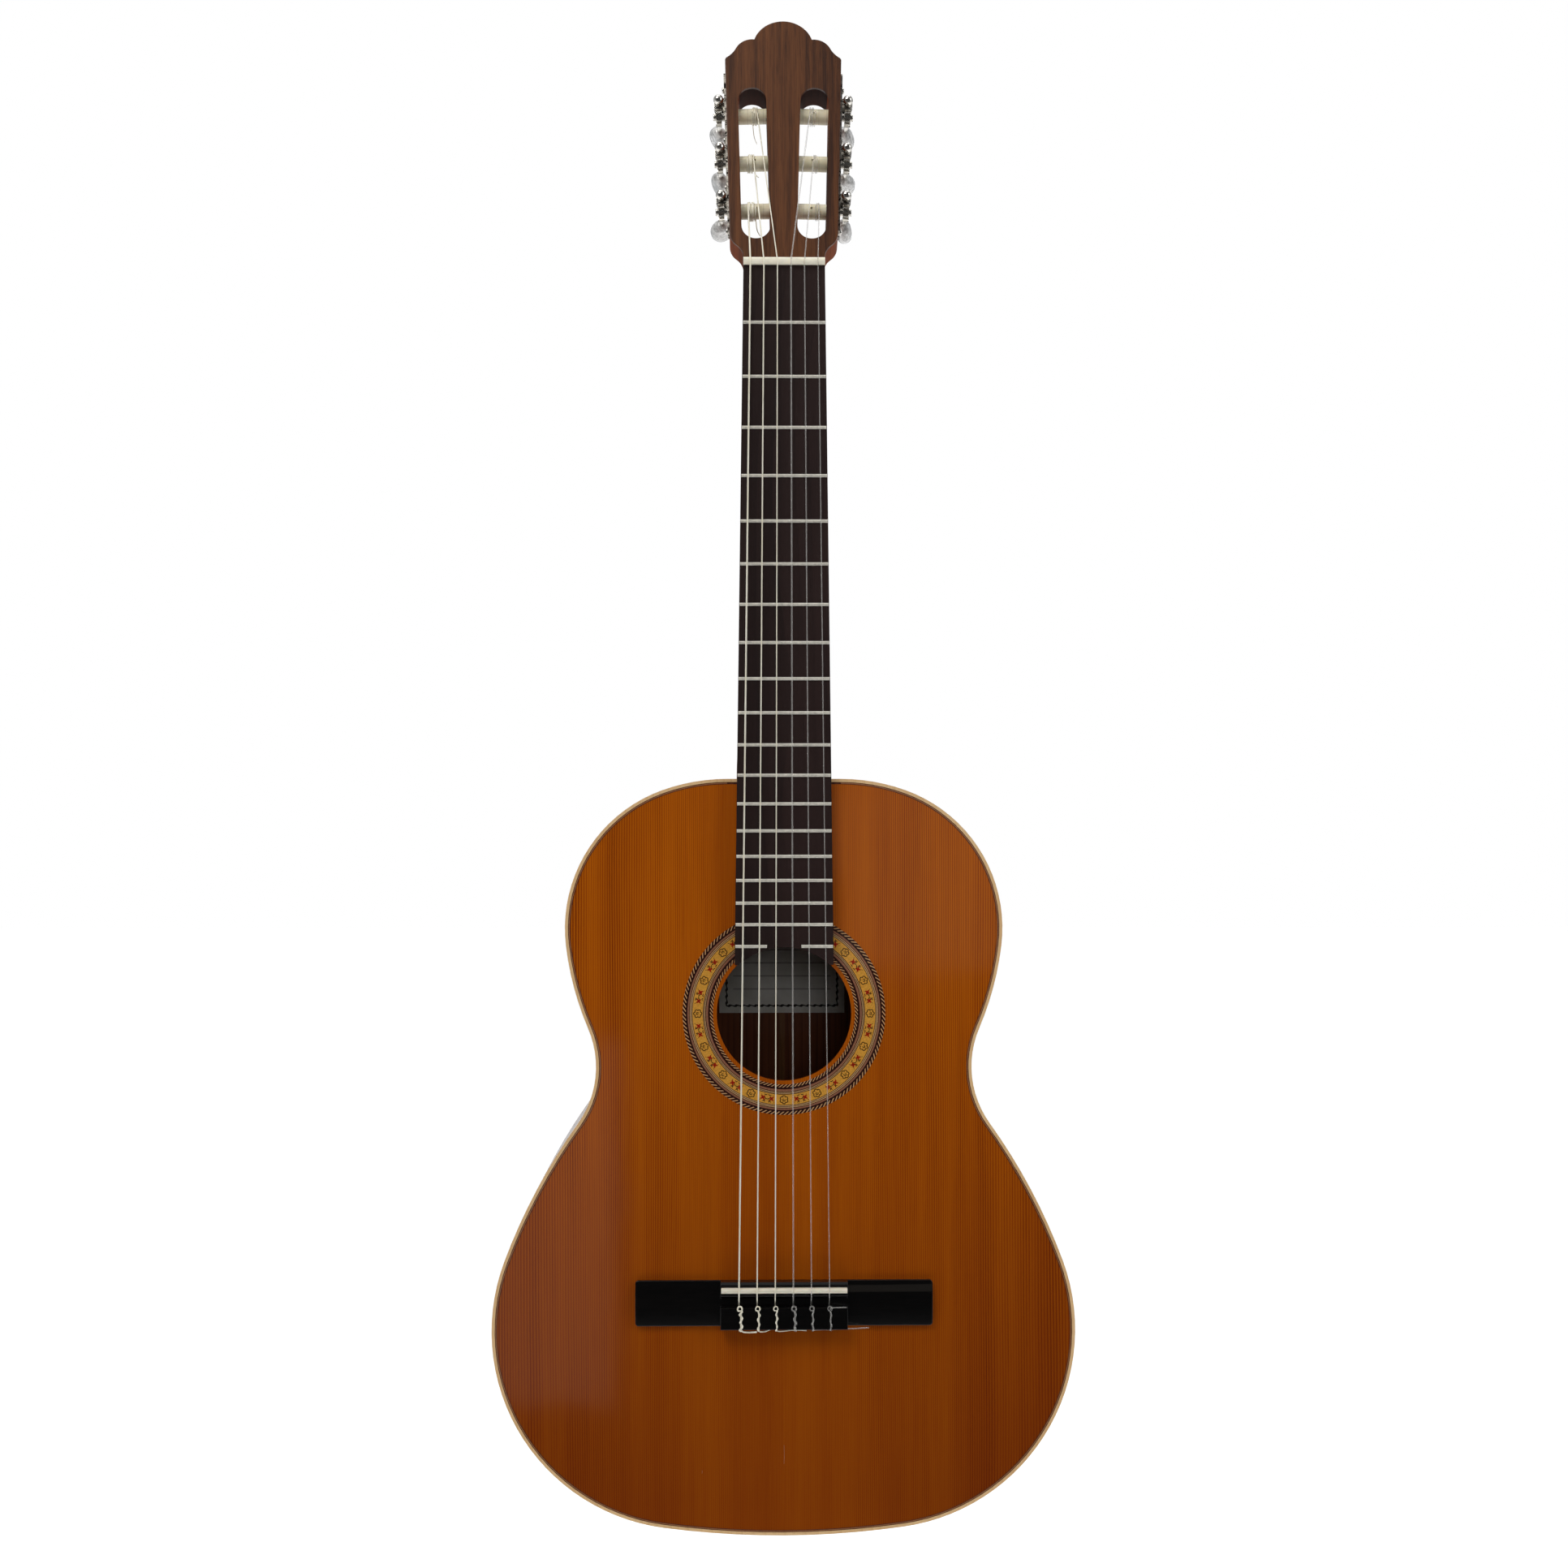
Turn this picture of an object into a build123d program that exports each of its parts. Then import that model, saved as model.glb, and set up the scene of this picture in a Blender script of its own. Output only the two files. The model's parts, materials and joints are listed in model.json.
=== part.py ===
from build123d import *

import os
from math import atan, cos, degrees, pi, radians, sin, sqrt, tan

# Classical guitar: cedar soundboard, rosewood back and ribs, Spanish heel, slotted headstock.
#
# Frame, in millimetres: +X to the right as the player's audience sees it (treble side), +Y from the
# soundboard towards the back, +Z up along the neck. Y = 0 is the soundboard's outer face and the neck's
# glue face under the fingerboard. Z = 0 is the flare of the headstock, where a hanger's yoke carries it.

# ---------------------------------------------------------------- driving dimensions
SCALE = 650.0  # nut to saddle, before compensation
NUT_Z = -12.0  # where the nut meets the fingerboard
FULL_FRETS = 18

# body
BODY_TOP_Z = NUT_Z - 327.3
BODY_DEPTH = 101.0  # at the top of the back's dome
DOME_RADIUS = 6000.0
DOME_Z = NUT_Z - SCALE
# Tangent arcs of the half outline from the middle of the tail: radius, turn in degrees.
# A negative turn bends outwards, as the waist does.
OUTLINE_ARCS = [
    (565.6, 7.84),  # tail
    (127.2, 102.59),  # lower bout
    (376.4, 15.24),  # lower flank
    (62.6, -58.8),  # waist
    (193.5, 16.25),  # upper flank
    (94.0, 77.09),  # upper bout
]
OUTLINE_ARCS.append((123.0, 180 - sum(turn for radius, turn in OUTLINE_ARCS)))  # shoulder

PLATE = 2.5  # soundboard and back
RIB = 2.0
BINDING_DEPTH = 6.0
PURFLING = 1.5  # width and depth
LINING_WIDTH = 5.0
LINING_HEIGHT = 14.0
GRAFT_HALF = 5.0
INLAY_HALF = 2.0
BACK_LOW = BODY_DEPTH - 32  # below anything that follows the dome

# inside the body
FAN_COUNT = 7
FAN_SPREAD = 27.2  # between struts at the middle of their length
FAN_W = 5.0
FAN_H = 5.5
FAN_HIGH_Z = NUT_Z - 560.0
FAN_LOW_Z = NUT_Z - 770.0
FAN_TURN = 5.0  # degrees between neighbours
FAN_SHORTER = 10.0  # what each pair loses in length, outwards
BAR_W = 10.0
BAR_H = 16.0
BAR_ZS = (NUT_Z - 405.0, NUT_Z - 551.0)
BACK_BAR_ZS = (NUT_Z - 405.0, NUT_Z - 551.0, NUT_Z - 690.0)
BAR_END = RIB + LINING_WIDTH + 0.5
TAIL_BLOCK_HALF = 35.0
TAIL_BLOCK_T = 16.0
PATCH_T = 1.6
PATCH_W = 146.0
LABEL_W = 86.0
LABEL_H = 60.0
LABEL_Z = NUT_Z - 458.0
LABEL_T = 0.3

# soundhole and rosette
HOLE_Z = NUT_Z - 477.6
HOLE_R = 43.1
ROSETTE_IN_R = 45.5
ROSETTE_OUT_R = 65.0
ROSETTE_DEPTH = 1.2

# neck, fingerboard and nut
BOARD = 7.0  # fingerboard thickness
BOARD_NUT_W = 52.0
BOARD_TAPER = 0.025  # width gained per millimetre from the nut
BOARD_END_R = 43.0  # the end follows the soundhole
BOARD_END_Z = NUT_Z - 445.9
FRET_W = 2.1
FRET_H = 1.0
FRET_SHORT = 0.3  # from the board's edge to the fret's end
FRET_GAP = 11.0  # half of what the last fret leaves out at the board's curved end
TANG_W = 0.6
TANG_H = 1.8
NUT_T = 5.0
NUT_H = 9.1
NECK_DEPTH = 15.5
HEEL_CAP = 3.0
FOOT_W = 64.0
FOOT_L = 68.0  # along the back
FOOT_TOP_L = 26.0  # along the soundboard
WEB_W = 24.0  # wood left between the slots that hold the ribs
# heel sections: depth, half width, length
HEEL = [
    (0.0, (BOARD_NUT_W + BOARD_TAPER * (NUT_Z - BODY_TOP_Z)) / 2, 80.0),
    (12.0, 29.4, 58.0),
    (30.0, 24.6, 36.0),
    (60.0, 18.2, 26.0),
]
HEEL_END = (14.5, 24.0)  # half width and length
HEEL_END_Y = 92.0

# headstock, in its own plane: x across, s up the headstock, n out of its face
HEAD_TILT = 15.0
HEAD_T = 18.0
VENEER = 1.8
HEAD_LENGTH = 175.0
HEAD_TOP_S = 145.7  # where the straight sides end
HEAD_TOP_W = 38.3  # half widths
HEAD_LOW_S = 19.0
HEAD_LOW_W = 34.9
LOBE_R = 20.0
LOBE_HALF = 19.0
SLOT_W = 18.5
SLOT_LOW_S = 14.5
SLOT_HIGH_S = 124.8
SLOT_BACK_S = 21.0
SLOT_MID_X = 19.2  # slot's middle line at its middle height
SLOT_RAMP = 12.0  # how deep the slot's lower end slopes before it drops straight
# shaft stations: height and thickness without the fingerboard
SHAFT = [
    (BODY_TOP_Z, 17.5),
    (BODY_TOP_Z + 60, 17.2),
    (NUT_Z - 40, NECK_DEPTH),
    (NUT_Z - 10, NECK_DEPTH),
    (NUT_Z + NUT_T, HEAD_T + 0.4),
]
SIDE_TAPER = degrees(atan((HEAD_TOP_W - HEAD_LOW_W) / (HEAD_TOP_S - HEAD_LOW_S)))

# tuning machines, in the plane of the headstock's side: x out of it, y up it, z out of the face
MACHINE_S = 74.5  # the middle machine, from the nut
MACHINE_PITCH = 35.0
ROLLER_N = -9.0
ROLLER_R = 5.0
RUNNING = 0.08  # radial clearance of what turns
ROLLER_END = -33.0  # how deep the roller reaches in from the side
ROLLER_OUT = -0.3
SPINDLE_R = 2.6
STRING_HOLE_R = 0.75
STRING_HOLE_X = -17.5
PLATE_T = 1.2
PLATE_H = 13.0
PLATE_ABOVE = 30.0  # beyond the outer rollers
PLATE_BELOW = 17.0
SCREW_YS = (-49.0, -17.5, 17.5, 55.0)
SCREW_HEAD_R = 2.0
SCREW_R = 1.1
SCREW_L = 9.0
GEAR_TEETH = 14
GEAR_R = 6.15
GEAR_ROOT_R = 4.5
GEAR_T = 3.8
GEAR_X = 5.0  # middle of the gear, out from the side
GEAR_SCREW_R = 2.3
GEAR_SCREW_T = 1.8
WORM_R = 3.2
WORM_ROOT_R = 1.6
WORM_HALF = 3.75
MESH = 8.1  # roller axis to worm axis
MESH_GAP = 0.6  # between the flanks, both sides together
PITCH_R = GEAR_R - 0.64  # where gear and worm roll on each other
WORM_PITCH = 2 * pi * PITCH_R / GEAR_TEETH
WORM_PITCH_R = MESH - PITCH_R
WORM_TURNS = 4
LEAD = degrees(atan(WORM_PITCH / (2 * pi * WORM_PITCH_R)))
FLANK = 0.36  # slope of a tooth's flank
EAR_IN = 3.95  # inner face of each ear, from the worm's middle
EAR_T = 1.1
EAR_R = 2.9
SHAFT_R = 1.5
BALL_R = 3.3
BALL_Z = 7.7
COLLAR_R = 2.4
KNOB_Z = -37.0  # middle of the button
KNOB_W = 15.0
KNOB_T = 9.0
KNOB_L = 19.0
KNOB_TURNS = {1: 20, 2: 80, 3: 35, 4: 140, 5: 150, 6: 75}  # how each button happens to stand, degrees

# bridge and saddle
BRIDGE_W = 190.0
BRIDGE_L = 30.0
BRIDGE_TOP_Z = NUT_Z - 648.0
BLOCK_W = 81.0
WING_H = 4.0
BLOCK_H = 8.6
TIE_L = 14.0
SADDLE_Z = NUT_Z - 652.6
SADDLE_T = 3.0
SADDLE_H = 12.8
SADDLE_SEAT = 4.0  # floor of the saddle slot above the soundboard
SADDLE_W = 80.0
SADDLE_WALL = 8.5  # the block's length around the saddle
WING_EDGE = 2.2  # thickness of the wings at their long edges
CHANNEL_H = 3.0  # between saddle and tie block
TIE_HOLE_R = 0.85
TIE_HOLE_H = 4.2

# strings, first (highest) to sixth (lowest)
STRING_D = (0.72, 0.82, 1.02, 0.76, 0.90, 1.10)
NUT_SPREAD = 43.0
SADDLE_SPREAD = 57.5
STRING_BREAK = 38.0  # degrees that a string turns down behind the saddle
STRING_NUT_H = 8.7  # underside of the strings over the soundboard's plane
WOUND_X = (23.0, 19.5, 17.6, 17.2, 19.5, 23.0)  # where each lies on its roller, from the middle
MACHINE_OF = (-1, 0, 1, 1, 0, -1)  # pitches up the headstock from the middle machine
WRAPS = 4

SIDES = {"treble": 1, "bass": -1}


# ---------------------------------------------------------------- helpers
def outline_height():
    """What the outline's arcs rise in all, from the tail to the shoulders."""
    heading, height = 0.0, 0.0
    for radius, turn in OUTLINE_ARCS:
        bend = radius if turn > 0 else -radius
        height += bend * (cos(radians(heading)) - cos(radians(heading + turn)))
        heading += turn
    return height


TAIL_Z = BODY_TOP_Z - outline_height()


def depth(y):
    """The plane parallel to the soundboard at depth y, seen from the front."""
    return Plane.XZ.offset(-y)


def level(z):
    """The horizontal plane at height z."""
    return Plane.XY.offset(z)


HEAD = Plane(
    origin=(0, 0, NUT_Z + NUT_T),
    x_dir=(1, 0, 0),
    z_dir=(0, -cos(radians(HEAD_TILT)), sin(radians(HEAD_TILT))),
)


def side_x(s):
    """Half width of the headstock's straight sides at s."""
    share = (s - HEAD_LOW_S) / (HEAD_TOP_S - HEAD_LOW_S)
    return HEAD_LOW_W + (HEAD_TOP_W - HEAD_LOW_W) * share


SIDE = Location(HEAD) * Location((side_x(MACHINE_S), MACHINE_S, ROLLER_N), -SIDE_TAPER)


def flip(v):
    """A vector seen in the mirror between bass and treble."""
    return Vector(-v.X, v.Y, v.Z)


def side_plane(side, y, out):
    """A plane parallel to the headstock's side and facing outwards, centred y up the side."""
    treble = Plane(SIDE * Location((out, y, 0), (0, 90, 0)))
    if side > 0:
        return treble
    return Plane(origin=flip(treble.origin), x_dir=flip(treble.x_dir), z_dir=flip(treble.z_dir))


def body_face(inset, mode=Mode.ADD):
    """Adds the body's outline, moved inwards by inset, to the sketch in progress."""
    with BuildSketch(Plane.XY) as outline:
        with BuildLine():
            point, heading = Vector(0, TAIL_Z + inset), Vector(1, 0)
            for radius, turn in OUTLINE_ARCS:
                reach = radius - inset if turn > 0 else radius + inset
                arc = JernArc(point, heading, reach, turn)
                point, heading = arc @ 1, arc % 1
            Line(point, (0, point.Y))
            mirror(about=Plane.YZ)
        make_face()
    add(outline.sketch, mode=mode)


def dome(inset, mode):
    """The space inside the back's dome, inset from its outer face."""
    with Locations((0, BODY_DEPTH - DOME_RADIUS, DOME_Z)):
        Sphere(DOME_RADIUS - inset, mode=mode)


def half_space(x_from, side, mode=Mode.INTERSECT):
    """Keeps or cuts all that lies beyond x_from on that side."""
    reach = 400.0
    with Locations((side * (x_from + reach / 2), 0, TAIL_Z / 2)):
        Box(reach, reach, 3 * reach, mode=mode)


def strip(x_half, z_low, z_high, y_low=-1.0, y_high=BODY_DEPTH + 2, mode=Mode.SUBTRACT):
    """A box across the middle, between two heights and two depths."""
    with Locations((0, (y_low + y_high) / 2, (z_low + z_high) / 2)):
        Box(2 * x_half, y_high - y_low, z_high - z_low, mode=mode)


def board_half(z):
    """Half width of the fingerboard at height z."""
    return (BOARD_NUT_W + BOARD_TAPER * (NUT_Z - z)) / 2


def fret_z(n):
    """Height of fret n."""
    return NUT_Z - SCALE * (1 - 2 ** (-n / 12))


os.makedirs("parts", exist_ok=True)


def save(part, name):
    part.label = name
    export_step(part, f"parts/{name}.step")


# ---------------------------------------------------------------- body shell
def soundboard(side):
    """One book-matched half, rebated for the purfling and channelled for the rosette."""
    with BuildPart() as half:
        with BuildSketch(depth(PLATE)):
            body_face(RIB)
        extrude(amount=PLATE)
        with BuildSketch(depth(PURFLING)):
            body_face(RIB)
            body_face(RIB + PURFLING, mode=Mode.SUBTRACT)
        extrude(amount=PURFLING, mode=Mode.SUBTRACT)
        with BuildSketch(depth(ROSETTE_DEPTH)):
            with Locations((0, HOLE_Z)):
                Circle(ROSETTE_OUT_R)
                Circle(ROSETTE_IN_R, mode=Mode.SUBTRACT)
        extrude(amount=ROSETTE_DEPTH, mode=Mode.SUBTRACT)
        with BuildSketch(depth(PLATE)):
            with Locations((0, HOLE_Z)):
                Circle(HOLE_R)
        extrude(amount=PLATE, mode=Mode.SUBTRACT)
        half_space(0, side)
    return half.part


def edge_strip(inset, width, y_low, y_high, gap, domed=None):
    """A strip that follows the outline, left out over the neck, in two halves that meet at the tail."""
    halves = []
    for side in SIDES.values():
        with BuildPart() as half:
            with BuildSketch(depth(y_high)):
                body_face(inset)
                body_face(inset + width, mode=Mode.SUBTRACT)
            extrude(amount=y_high - y_low)
            if domed:
                dome(domed[0], Mode.INTERSECT)
                dome(domed[1], Mode.SUBTRACT)
            if gap:
                strip(gap, BODY_TOP_Z - 40, BODY_TOP_Z + 5)
            half_space(0, side)
        halves.append(half.part)
    return Compound(halves)


def rib(side):
    """One bent side, from its slot in the heel to the tail graft."""
    with BuildPart() as band:
        with BuildSketch(depth(BODY_DEPTH)):
            body_face(0)
            body_face(RIB, mode=Mode.SUBTRACT)
        extrude(amount=BODY_DEPTH - BINDING_DEPTH)
        dome(BINDING_DEPTH, Mode.INTERSECT)
        strip(WEB_W / 2, BODY_TOP_Z - 10, BODY_TOP_Z + 5)
        strip(GRAFT_HALF, TAIL_Z - 5, TAIL_Z + 10)
        half_space(0, side)
    return band.part


def tail_graft():
    with BuildPart() as graft:
        with BuildSketch(depth(BODY_DEPTH)):
            body_face(0)
            body_face(RIB, mode=Mode.SUBTRACT)
        extrude(amount=BODY_DEPTH - BINDING_DEPTH)
        dome(BINDING_DEPTH, Mode.INTERSECT)
        strip(GRAFT_HALF, TAIL_Z - 5, TAIL_Z + 10, mode=Mode.INTERSECT)
    return graft.part


def back_plate(side):
    with BuildPart() as plate:
        with BuildSketch(depth(BODY_DEPTH + 1)):
            body_face(RIB)
        extrude(amount=20)
        dome(0, Mode.INTERSECT)
        dome(PLATE, Mode.SUBTRACT)
        half_space(INLAY_HALF, side)
    return plate.part


def back_inlay():
    with BuildPart() as inlay:
        with BuildSketch(depth(BODY_DEPTH + 1)):
            body_face(RIB)
        extrude(amount=20)
        dome(0, Mode.INTERSECT)
        dome(PLATE, Mode.SUBTRACT)
        strip(INLAY_HALF, TAIL_Z, BODY_TOP_Z, mode=Mode.INTERSECT)
    return inlay.part


def rosette():
    with BuildPart() as ring:
        with BuildSketch(depth(ROSETTE_DEPTH)):
            with Locations((0, HOLE_Z)):
                Circle(ROSETTE_OUT_R)
                Circle(ROSETTE_IN_R, mode=Mode.SUBTRACT)
        extrude(amount=ROSETTE_DEPTH)
    return ring.part


# ---------------------------------------------------------------- inside the body
def top_braces():
    """Two harmonic bars across the board and the fan of struts below the soundhole."""
    pieces = []
    for z in BAR_ZS:
        with BuildPart() as bar:
            with BuildSketch(depth(PLATE + BAR_H)):
                body_face(BAR_END)
            extrude(amount=BAR_H)
            strip(200, z - BAR_W / 2, z + BAR_W / 2, mode=Mode.INTERSECT)
            chamfer(bar.edges().filter_by(Axis.X).group_by(Axis.Y)[-1], BAR_W / 2 - 1.5)
        pieces.append(bar.part)
    for n in range(FAN_COUNT):
        place = n - (FAN_COUNT - 1) / 2
        mid_z = (FAN_HIGH_Z + FAN_LOW_Z) / 2
        length = FAN_HIGH_Z - FAN_LOW_Z - FAN_SHORTER * abs(place)
        with BuildPart() as strut:
            with BuildSketch(depth(PLATE + FAN_H)):
                with Locations(Location((FAN_SPREAD * place, mid_z), place * FAN_TURN)):
                    Rectangle(FAN_W, length)
            extrude(amount=FAN_H)
            long_edges = strut.edges().group_by(Axis.Y)[-1].sort_by(SortBy.LENGTH)[-2:]
            chamfer(long_edges, FAN_W / 2 - 0.6)
        pieces.append(strut.part)
    return Compound(pieces)


def soundhole_patch():
    """The plate that stiffens the soundboard around the soundhole, between the harmonic bars."""
    with BuildPart() as patch:
        with BuildSketch(depth(PLATE + PATCH_T)):
            with Locations((0, HOLE_Z)):
                Rectangle(PATCH_W, BAR_ZS[0] - BAR_ZS[1] - BAR_W - 1)
                Circle(HOLE_R + 1.5, mode=Mode.SUBTRACT)
        extrude(amount=PATCH_T)
    return patch.part


def linings(y_low, y_high, domed=None):
    """Bent strips that join plate and ribs, stopped at the heel's foot and the tail block."""
    halves = []
    for side in SIDES.values():
        with BuildPart() as half:
            with BuildSketch(depth(y_high)):
                body_face(RIB)
                body_face(RIB + LINING_WIDTH, mode=Mode.SUBTRACT)
            extrude(amount=y_high - y_low)
            if domed:
                dome(domed[0], Mode.INTERSECT)
                dome(domed[1], Mode.SUBTRACT)
            strip(FOOT_W / 2, BODY_TOP_Z - 20, BODY_TOP_Z)
            strip(TAIL_BLOCK_HALF, TAIL_Z, TAIL_Z + 20)
            half_space(0, side)
        halves.append(half.part)
    return Compound(halves)


def tail_block():
    with BuildPart() as block:
        with BuildSketch(depth(BODY_DEPTH)):
            body_face(RIB)
        extrude(amount=BODY_DEPTH - PLATE)
        dome(PLATE, Mode.INTERSECT)
        strip(TAIL_BLOCK_HALF, TAIL_Z, TAIL_Z + RIB + TAIL_BLOCK_T, mode=Mode.INTERSECT)
    return block.part


def back_braces():
    bars = []
    for z in BACK_BAR_ZS:
        with BuildPart() as bar:
            with BuildSketch(depth(BODY_DEPTH)):
                body_face(BAR_END)
            extrude(amount=PLATE + BAR_H + 4)
            dome(PLATE, Mode.INTERSECT)
            strip(200, z - BAR_W / 2, z + BAR_W / 2, mode=Mode.INTERSECT)
            chamfer(bar.edges().filter_by(Axis.X).group_by(Axis.Y)[0], BAR_W / 2 - 1.5)
        bars.append(bar.part)
    return Compound(bars)


def label():
    """The paper label glued to the back under the soundhole."""
    with BuildPart() as paper:
        with BuildSketch(depth(BODY_DEPTH)):
            with Locations((0, LABEL_Z)):
                Rectangle(LABEL_W, LABEL_H)
        extrude(amount=20)
        dome(PLATE, Mode.INTERSECT)
        dome(PLATE + LABEL_T, Mode.SUBTRACT)
    return paper.part


# ---------------------------------------------------------------- neck and headstock
def head_outline(mode=Mode.ADD):
    """The headstock's outline in its plane, from the nut's shoulders to the lobed top."""
    waist = BOARD_NUT_W / 2
    low_flare = HEAD_LOW_W - waist
    flare = 2 * degrees(atan(low_flare / (HEAD_LOW_S - 1)))
    flare_r = (HEAD_LOW_S - 1) / 2 / sin(radians(flare))
    lobe_s = HEAD_LENGTH - LOBE_R
    notch = (LOBE_HALF, lobe_s + sqrt(LOBE_R**2 - LOBE_HALF**2))
    lobe_mid = (LOBE_R * sin(radians(40)), lobe_s + LOBE_R * cos(radians(40)))
    with BuildSketch(Plane.XY) as outline:
        with BuildLine():
            Line((0, 0), (waist, 0))
            Line((waist, 0), (waist, 1))
            swell = JernArc((waist, 1), (0, 1), flare_r, -flare)
            settle = JernArc(swell @ 1, swell % 1, flare_r, flare)
            Line(settle @ 1, (HEAD_TOP_W, HEAD_TOP_S))
            ThreePointArc((HEAD_TOP_W, HEAD_TOP_S), (37.9, 146.9), (37.0, 147.8))
            ThreePointArc((37.0, 147.8), (33.6, 150.8), (31.2, 154.4))
            ThreePointArc((31.2, 154.4), (26.3, 159.7), notch)
            ThreePointArc(notch, lobe_mid, (0, HEAD_LENGTH))
            mirror(about=Plane.YZ)
        make_face()
    add(outline.sketch, mode=mode)


def slot_face(low_s, side, mode=Mode.ADD):
    """A string slot's round-ended outline, its middle line parallel to the headstock's side."""
    length = SLOT_HIGH_S - low_s
    mid = (SLOT_HIGH_S + low_s) / 2
    middle_s = (SLOT_HIGH_S + SLOT_LOW_S) / 2
    x = SLOT_MID_X + (mid - middle_s) * tan(radians(SIDE_TAPER))
    with Locations(Location((side * x, mid), 90 - side * SIDE_TAPER)):
        SlotOverall(length, SLOT_W, mode=mode)


def round_profile(half, reach, base, fullness):
    """A section flat along its base and round beyond it, as neck and heel are."""
    with BuildSketch(Plane.XY) as section:
        with BuildLine():
            Line((-half, base), (half, base))
            Spline(
                (half, base),
                (half * fullness, base + reach * 0.5),
                (half * 0.55, base + reach * 0.88),
                (0, base + reach),
                (-half * 0.55, base + reach * 0.88),
                (-half * fullness, base + reach * 0.5),
                (-half, base),
                tangents=((0, 1), (0, -1)),
            )
        make_face()
    add(section.sketch)


def neck():
    """Shaft, headstock, heel and foot in one stick, with slots for the ribs between heel and foot."""
    half_web = WEB_W / 2
    half_heel = board_half(BODY_TOP_Z)
    foot_z = BODY_TOP_Z - RIB
    with BuildPart() as stick:
        for (z, deep), (next_z, next_deep) in zip(SHAFT, SHAFT[1:]):
            with BuildSketch(level(z)):
                round_profile(board_half(z), deep, 0, 0.9)
            with BuildSketch(level(next_z)):
                round_profile(board_half(next_z), next_deep, 0, 0.9)
            loft()
        with BuildSketch(HEAD):
            head_outline()
        extrude(amount=-HEAD_T)
        for y, half, length in [*HEEL, (HEEL_END_Y - HEEL_CAP, *HEEL_END)]:
            with BuildSketch(depth(y)):
                round_profile(half, length, BODY_TOP_Z, 0.86)
        loft()
        strip(half_web, foot_z, BODY_TOP_Z, 0, HEEL_END_Y - HEEL_CAP, mode=Mode.ADD)
        strip(half_heel, foot_z, BODY_TOP_Z, 0, BINDING_DEPTH, mode=Mode.ADD)
        with BuildSketch(Plane.YZ.offset(-FOOT_W / 2)):
            with BuildLine():
                Polyline(
                    (PLATE, foot_z),
                    (PLATE, foot_z - FOOT_TOP_L),
                    (PLATE + 30, foot_z - FOOT_TOP_L - 6),
                    (HEEL_END_Y - PLATE - 18, foot_z - FOOT_L),
                    (HEEL_END_Y - PLATE - 2, foot_z - FOOT_L),
                    (HEEL_END_Y - PLATE - 2, foot_z),
                    close=True,
                )
            make_face()
        extrude(amount=FOOT_W)
        for side in SIDES.values():
            for n_high, low, n_low, low_end in (
                (0, SLOT_LOW_S, -SLOT_RAMP, SLOT_BACK_S),
                (-SLOT_RAMP, SLOT_BACK_S, -HEAD_T - 3, SLOT_BACK_S),
            ):
                with BuildSketch(HEAD.offset(n_high)):
                    slot_face(low, side)
                with BuildSketch(HEAD.offset(n_low)):
                    slot_face(low_end, side)
                loft(mode=Mode.SUBTRACT)
            for place in (-1, 0, 1):
                with BuildSketch(side_plane(side, place * MACHINE_PITCH, 1)):
                    Circle(ROLLER_R + RUNNING)
                extrude(amount=ROLLER_END - 1.3, mode=Mode.SUBTRACT)
            for y in SCREW_YS:
                with BuildSketch(side_plane(side, y, 1)):
                    Circle(SCREW_R)
                extrude(amount=-SCREW_L - 1, mode=Mode.SUBTRACT)
    return stick.part


def heel_cap():
    with BuildPart() as cap:
        with BuildSketch(depth(HEEL_END_Y)):
            round_profile(*HEEL_END, BODY_TOP_Z, 0.86)
        extrude(amount=HEEL_CAP)
    return cap.part


def headstock_veneer():
    """The facing glued to the headstock, butted against the nut."""
    with BuildPart() as facing:
        with BuildSketch(HEAD):
            head_outline()
            for side in SIDES.values():
                slot_face(SLOT_LOW_S, side, mode=Mode.SUBTRACT)
        extrude(amount=VENEER)
        fillet(facing.faces().sort_by(Axis((0, 0, 0), HEAD.z_dir))[-1].outer_wire().edges(), 0.5)
    return facing.part


def fret_span(n):
    """The fret's inner and outer ends, measured from the middle."""
    inner = FRET_GAP if n > FULL_FRETS else 0
    return inner, board_half(fret_z(n)) - FRET_SHORT


def fret_places():
    """Height, middle and length of every piece of fretwire."""
    places = []
    for n in range(1, FULL_FRETS + 2):
        inner, outer = fret_span(n)
        if n <= FULL_FRETS:
            places.append((fret_z(n), 0, 2 * outer))
        else:
            places += [(fret_z(n) - 1, side * (inner + outer) / 2, outer - inner) for side in (1, -1)]
    return places


def fingerboard():
    with BuildPart() as board:
        with BuildSketch(Plane.XZ):
            with BuildLine():
                Polyline(
                    (-board_half(NUT_Z), NUT_Z),
                    (board_half(NUT_Z), NUT_Z),
                    (board_half(BOARD_END_Z), BOARD_END_Z),
                    (-board_half(BOARD_END_Z), BOARD_END_Z),
                    close=True,
                )
            make_face()
            with Locations((0, HOLE_Z)):
                Circle(BOARD_END_R, mode=Mode.SUBTRACT)
        extrude(amount=BOARD)
        for z, middle, length in fret_places():
            with Locations((middle, -BOARD + TANG_H / 2, z)):
                Box(length, TANG_H, TANG_W, mode=Mode.SUBTRACT)
    return board.part


def frets():
    """Every fret: a rounded crown on the board and a tang in its slot."""
    wires = []
    for z, middle, length in fret_places():
        with BuildPart() as wire:
            with BuildSketch(Plane.YZ.offset(middle - length / 2)):
                with BuildLine():
                    Line((-BOARD, z - FRET_W / 2), (-BOARD, z + FRET_W / 2))
                    ThreePointArc(
                        (-BOARD, z + FRET_W / 2), (-BOARD - FRET_H, z), (-BOARD, z - FRET_W / 2)
                    )
                make_face()
                with Locations((-BOARD + TANG_H / 2, z)):
                    Rectangle(TANG_H, TANG_W)
            extrude(amount=length)
        wires.append(wire.part)
    return Compound(wires)


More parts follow.
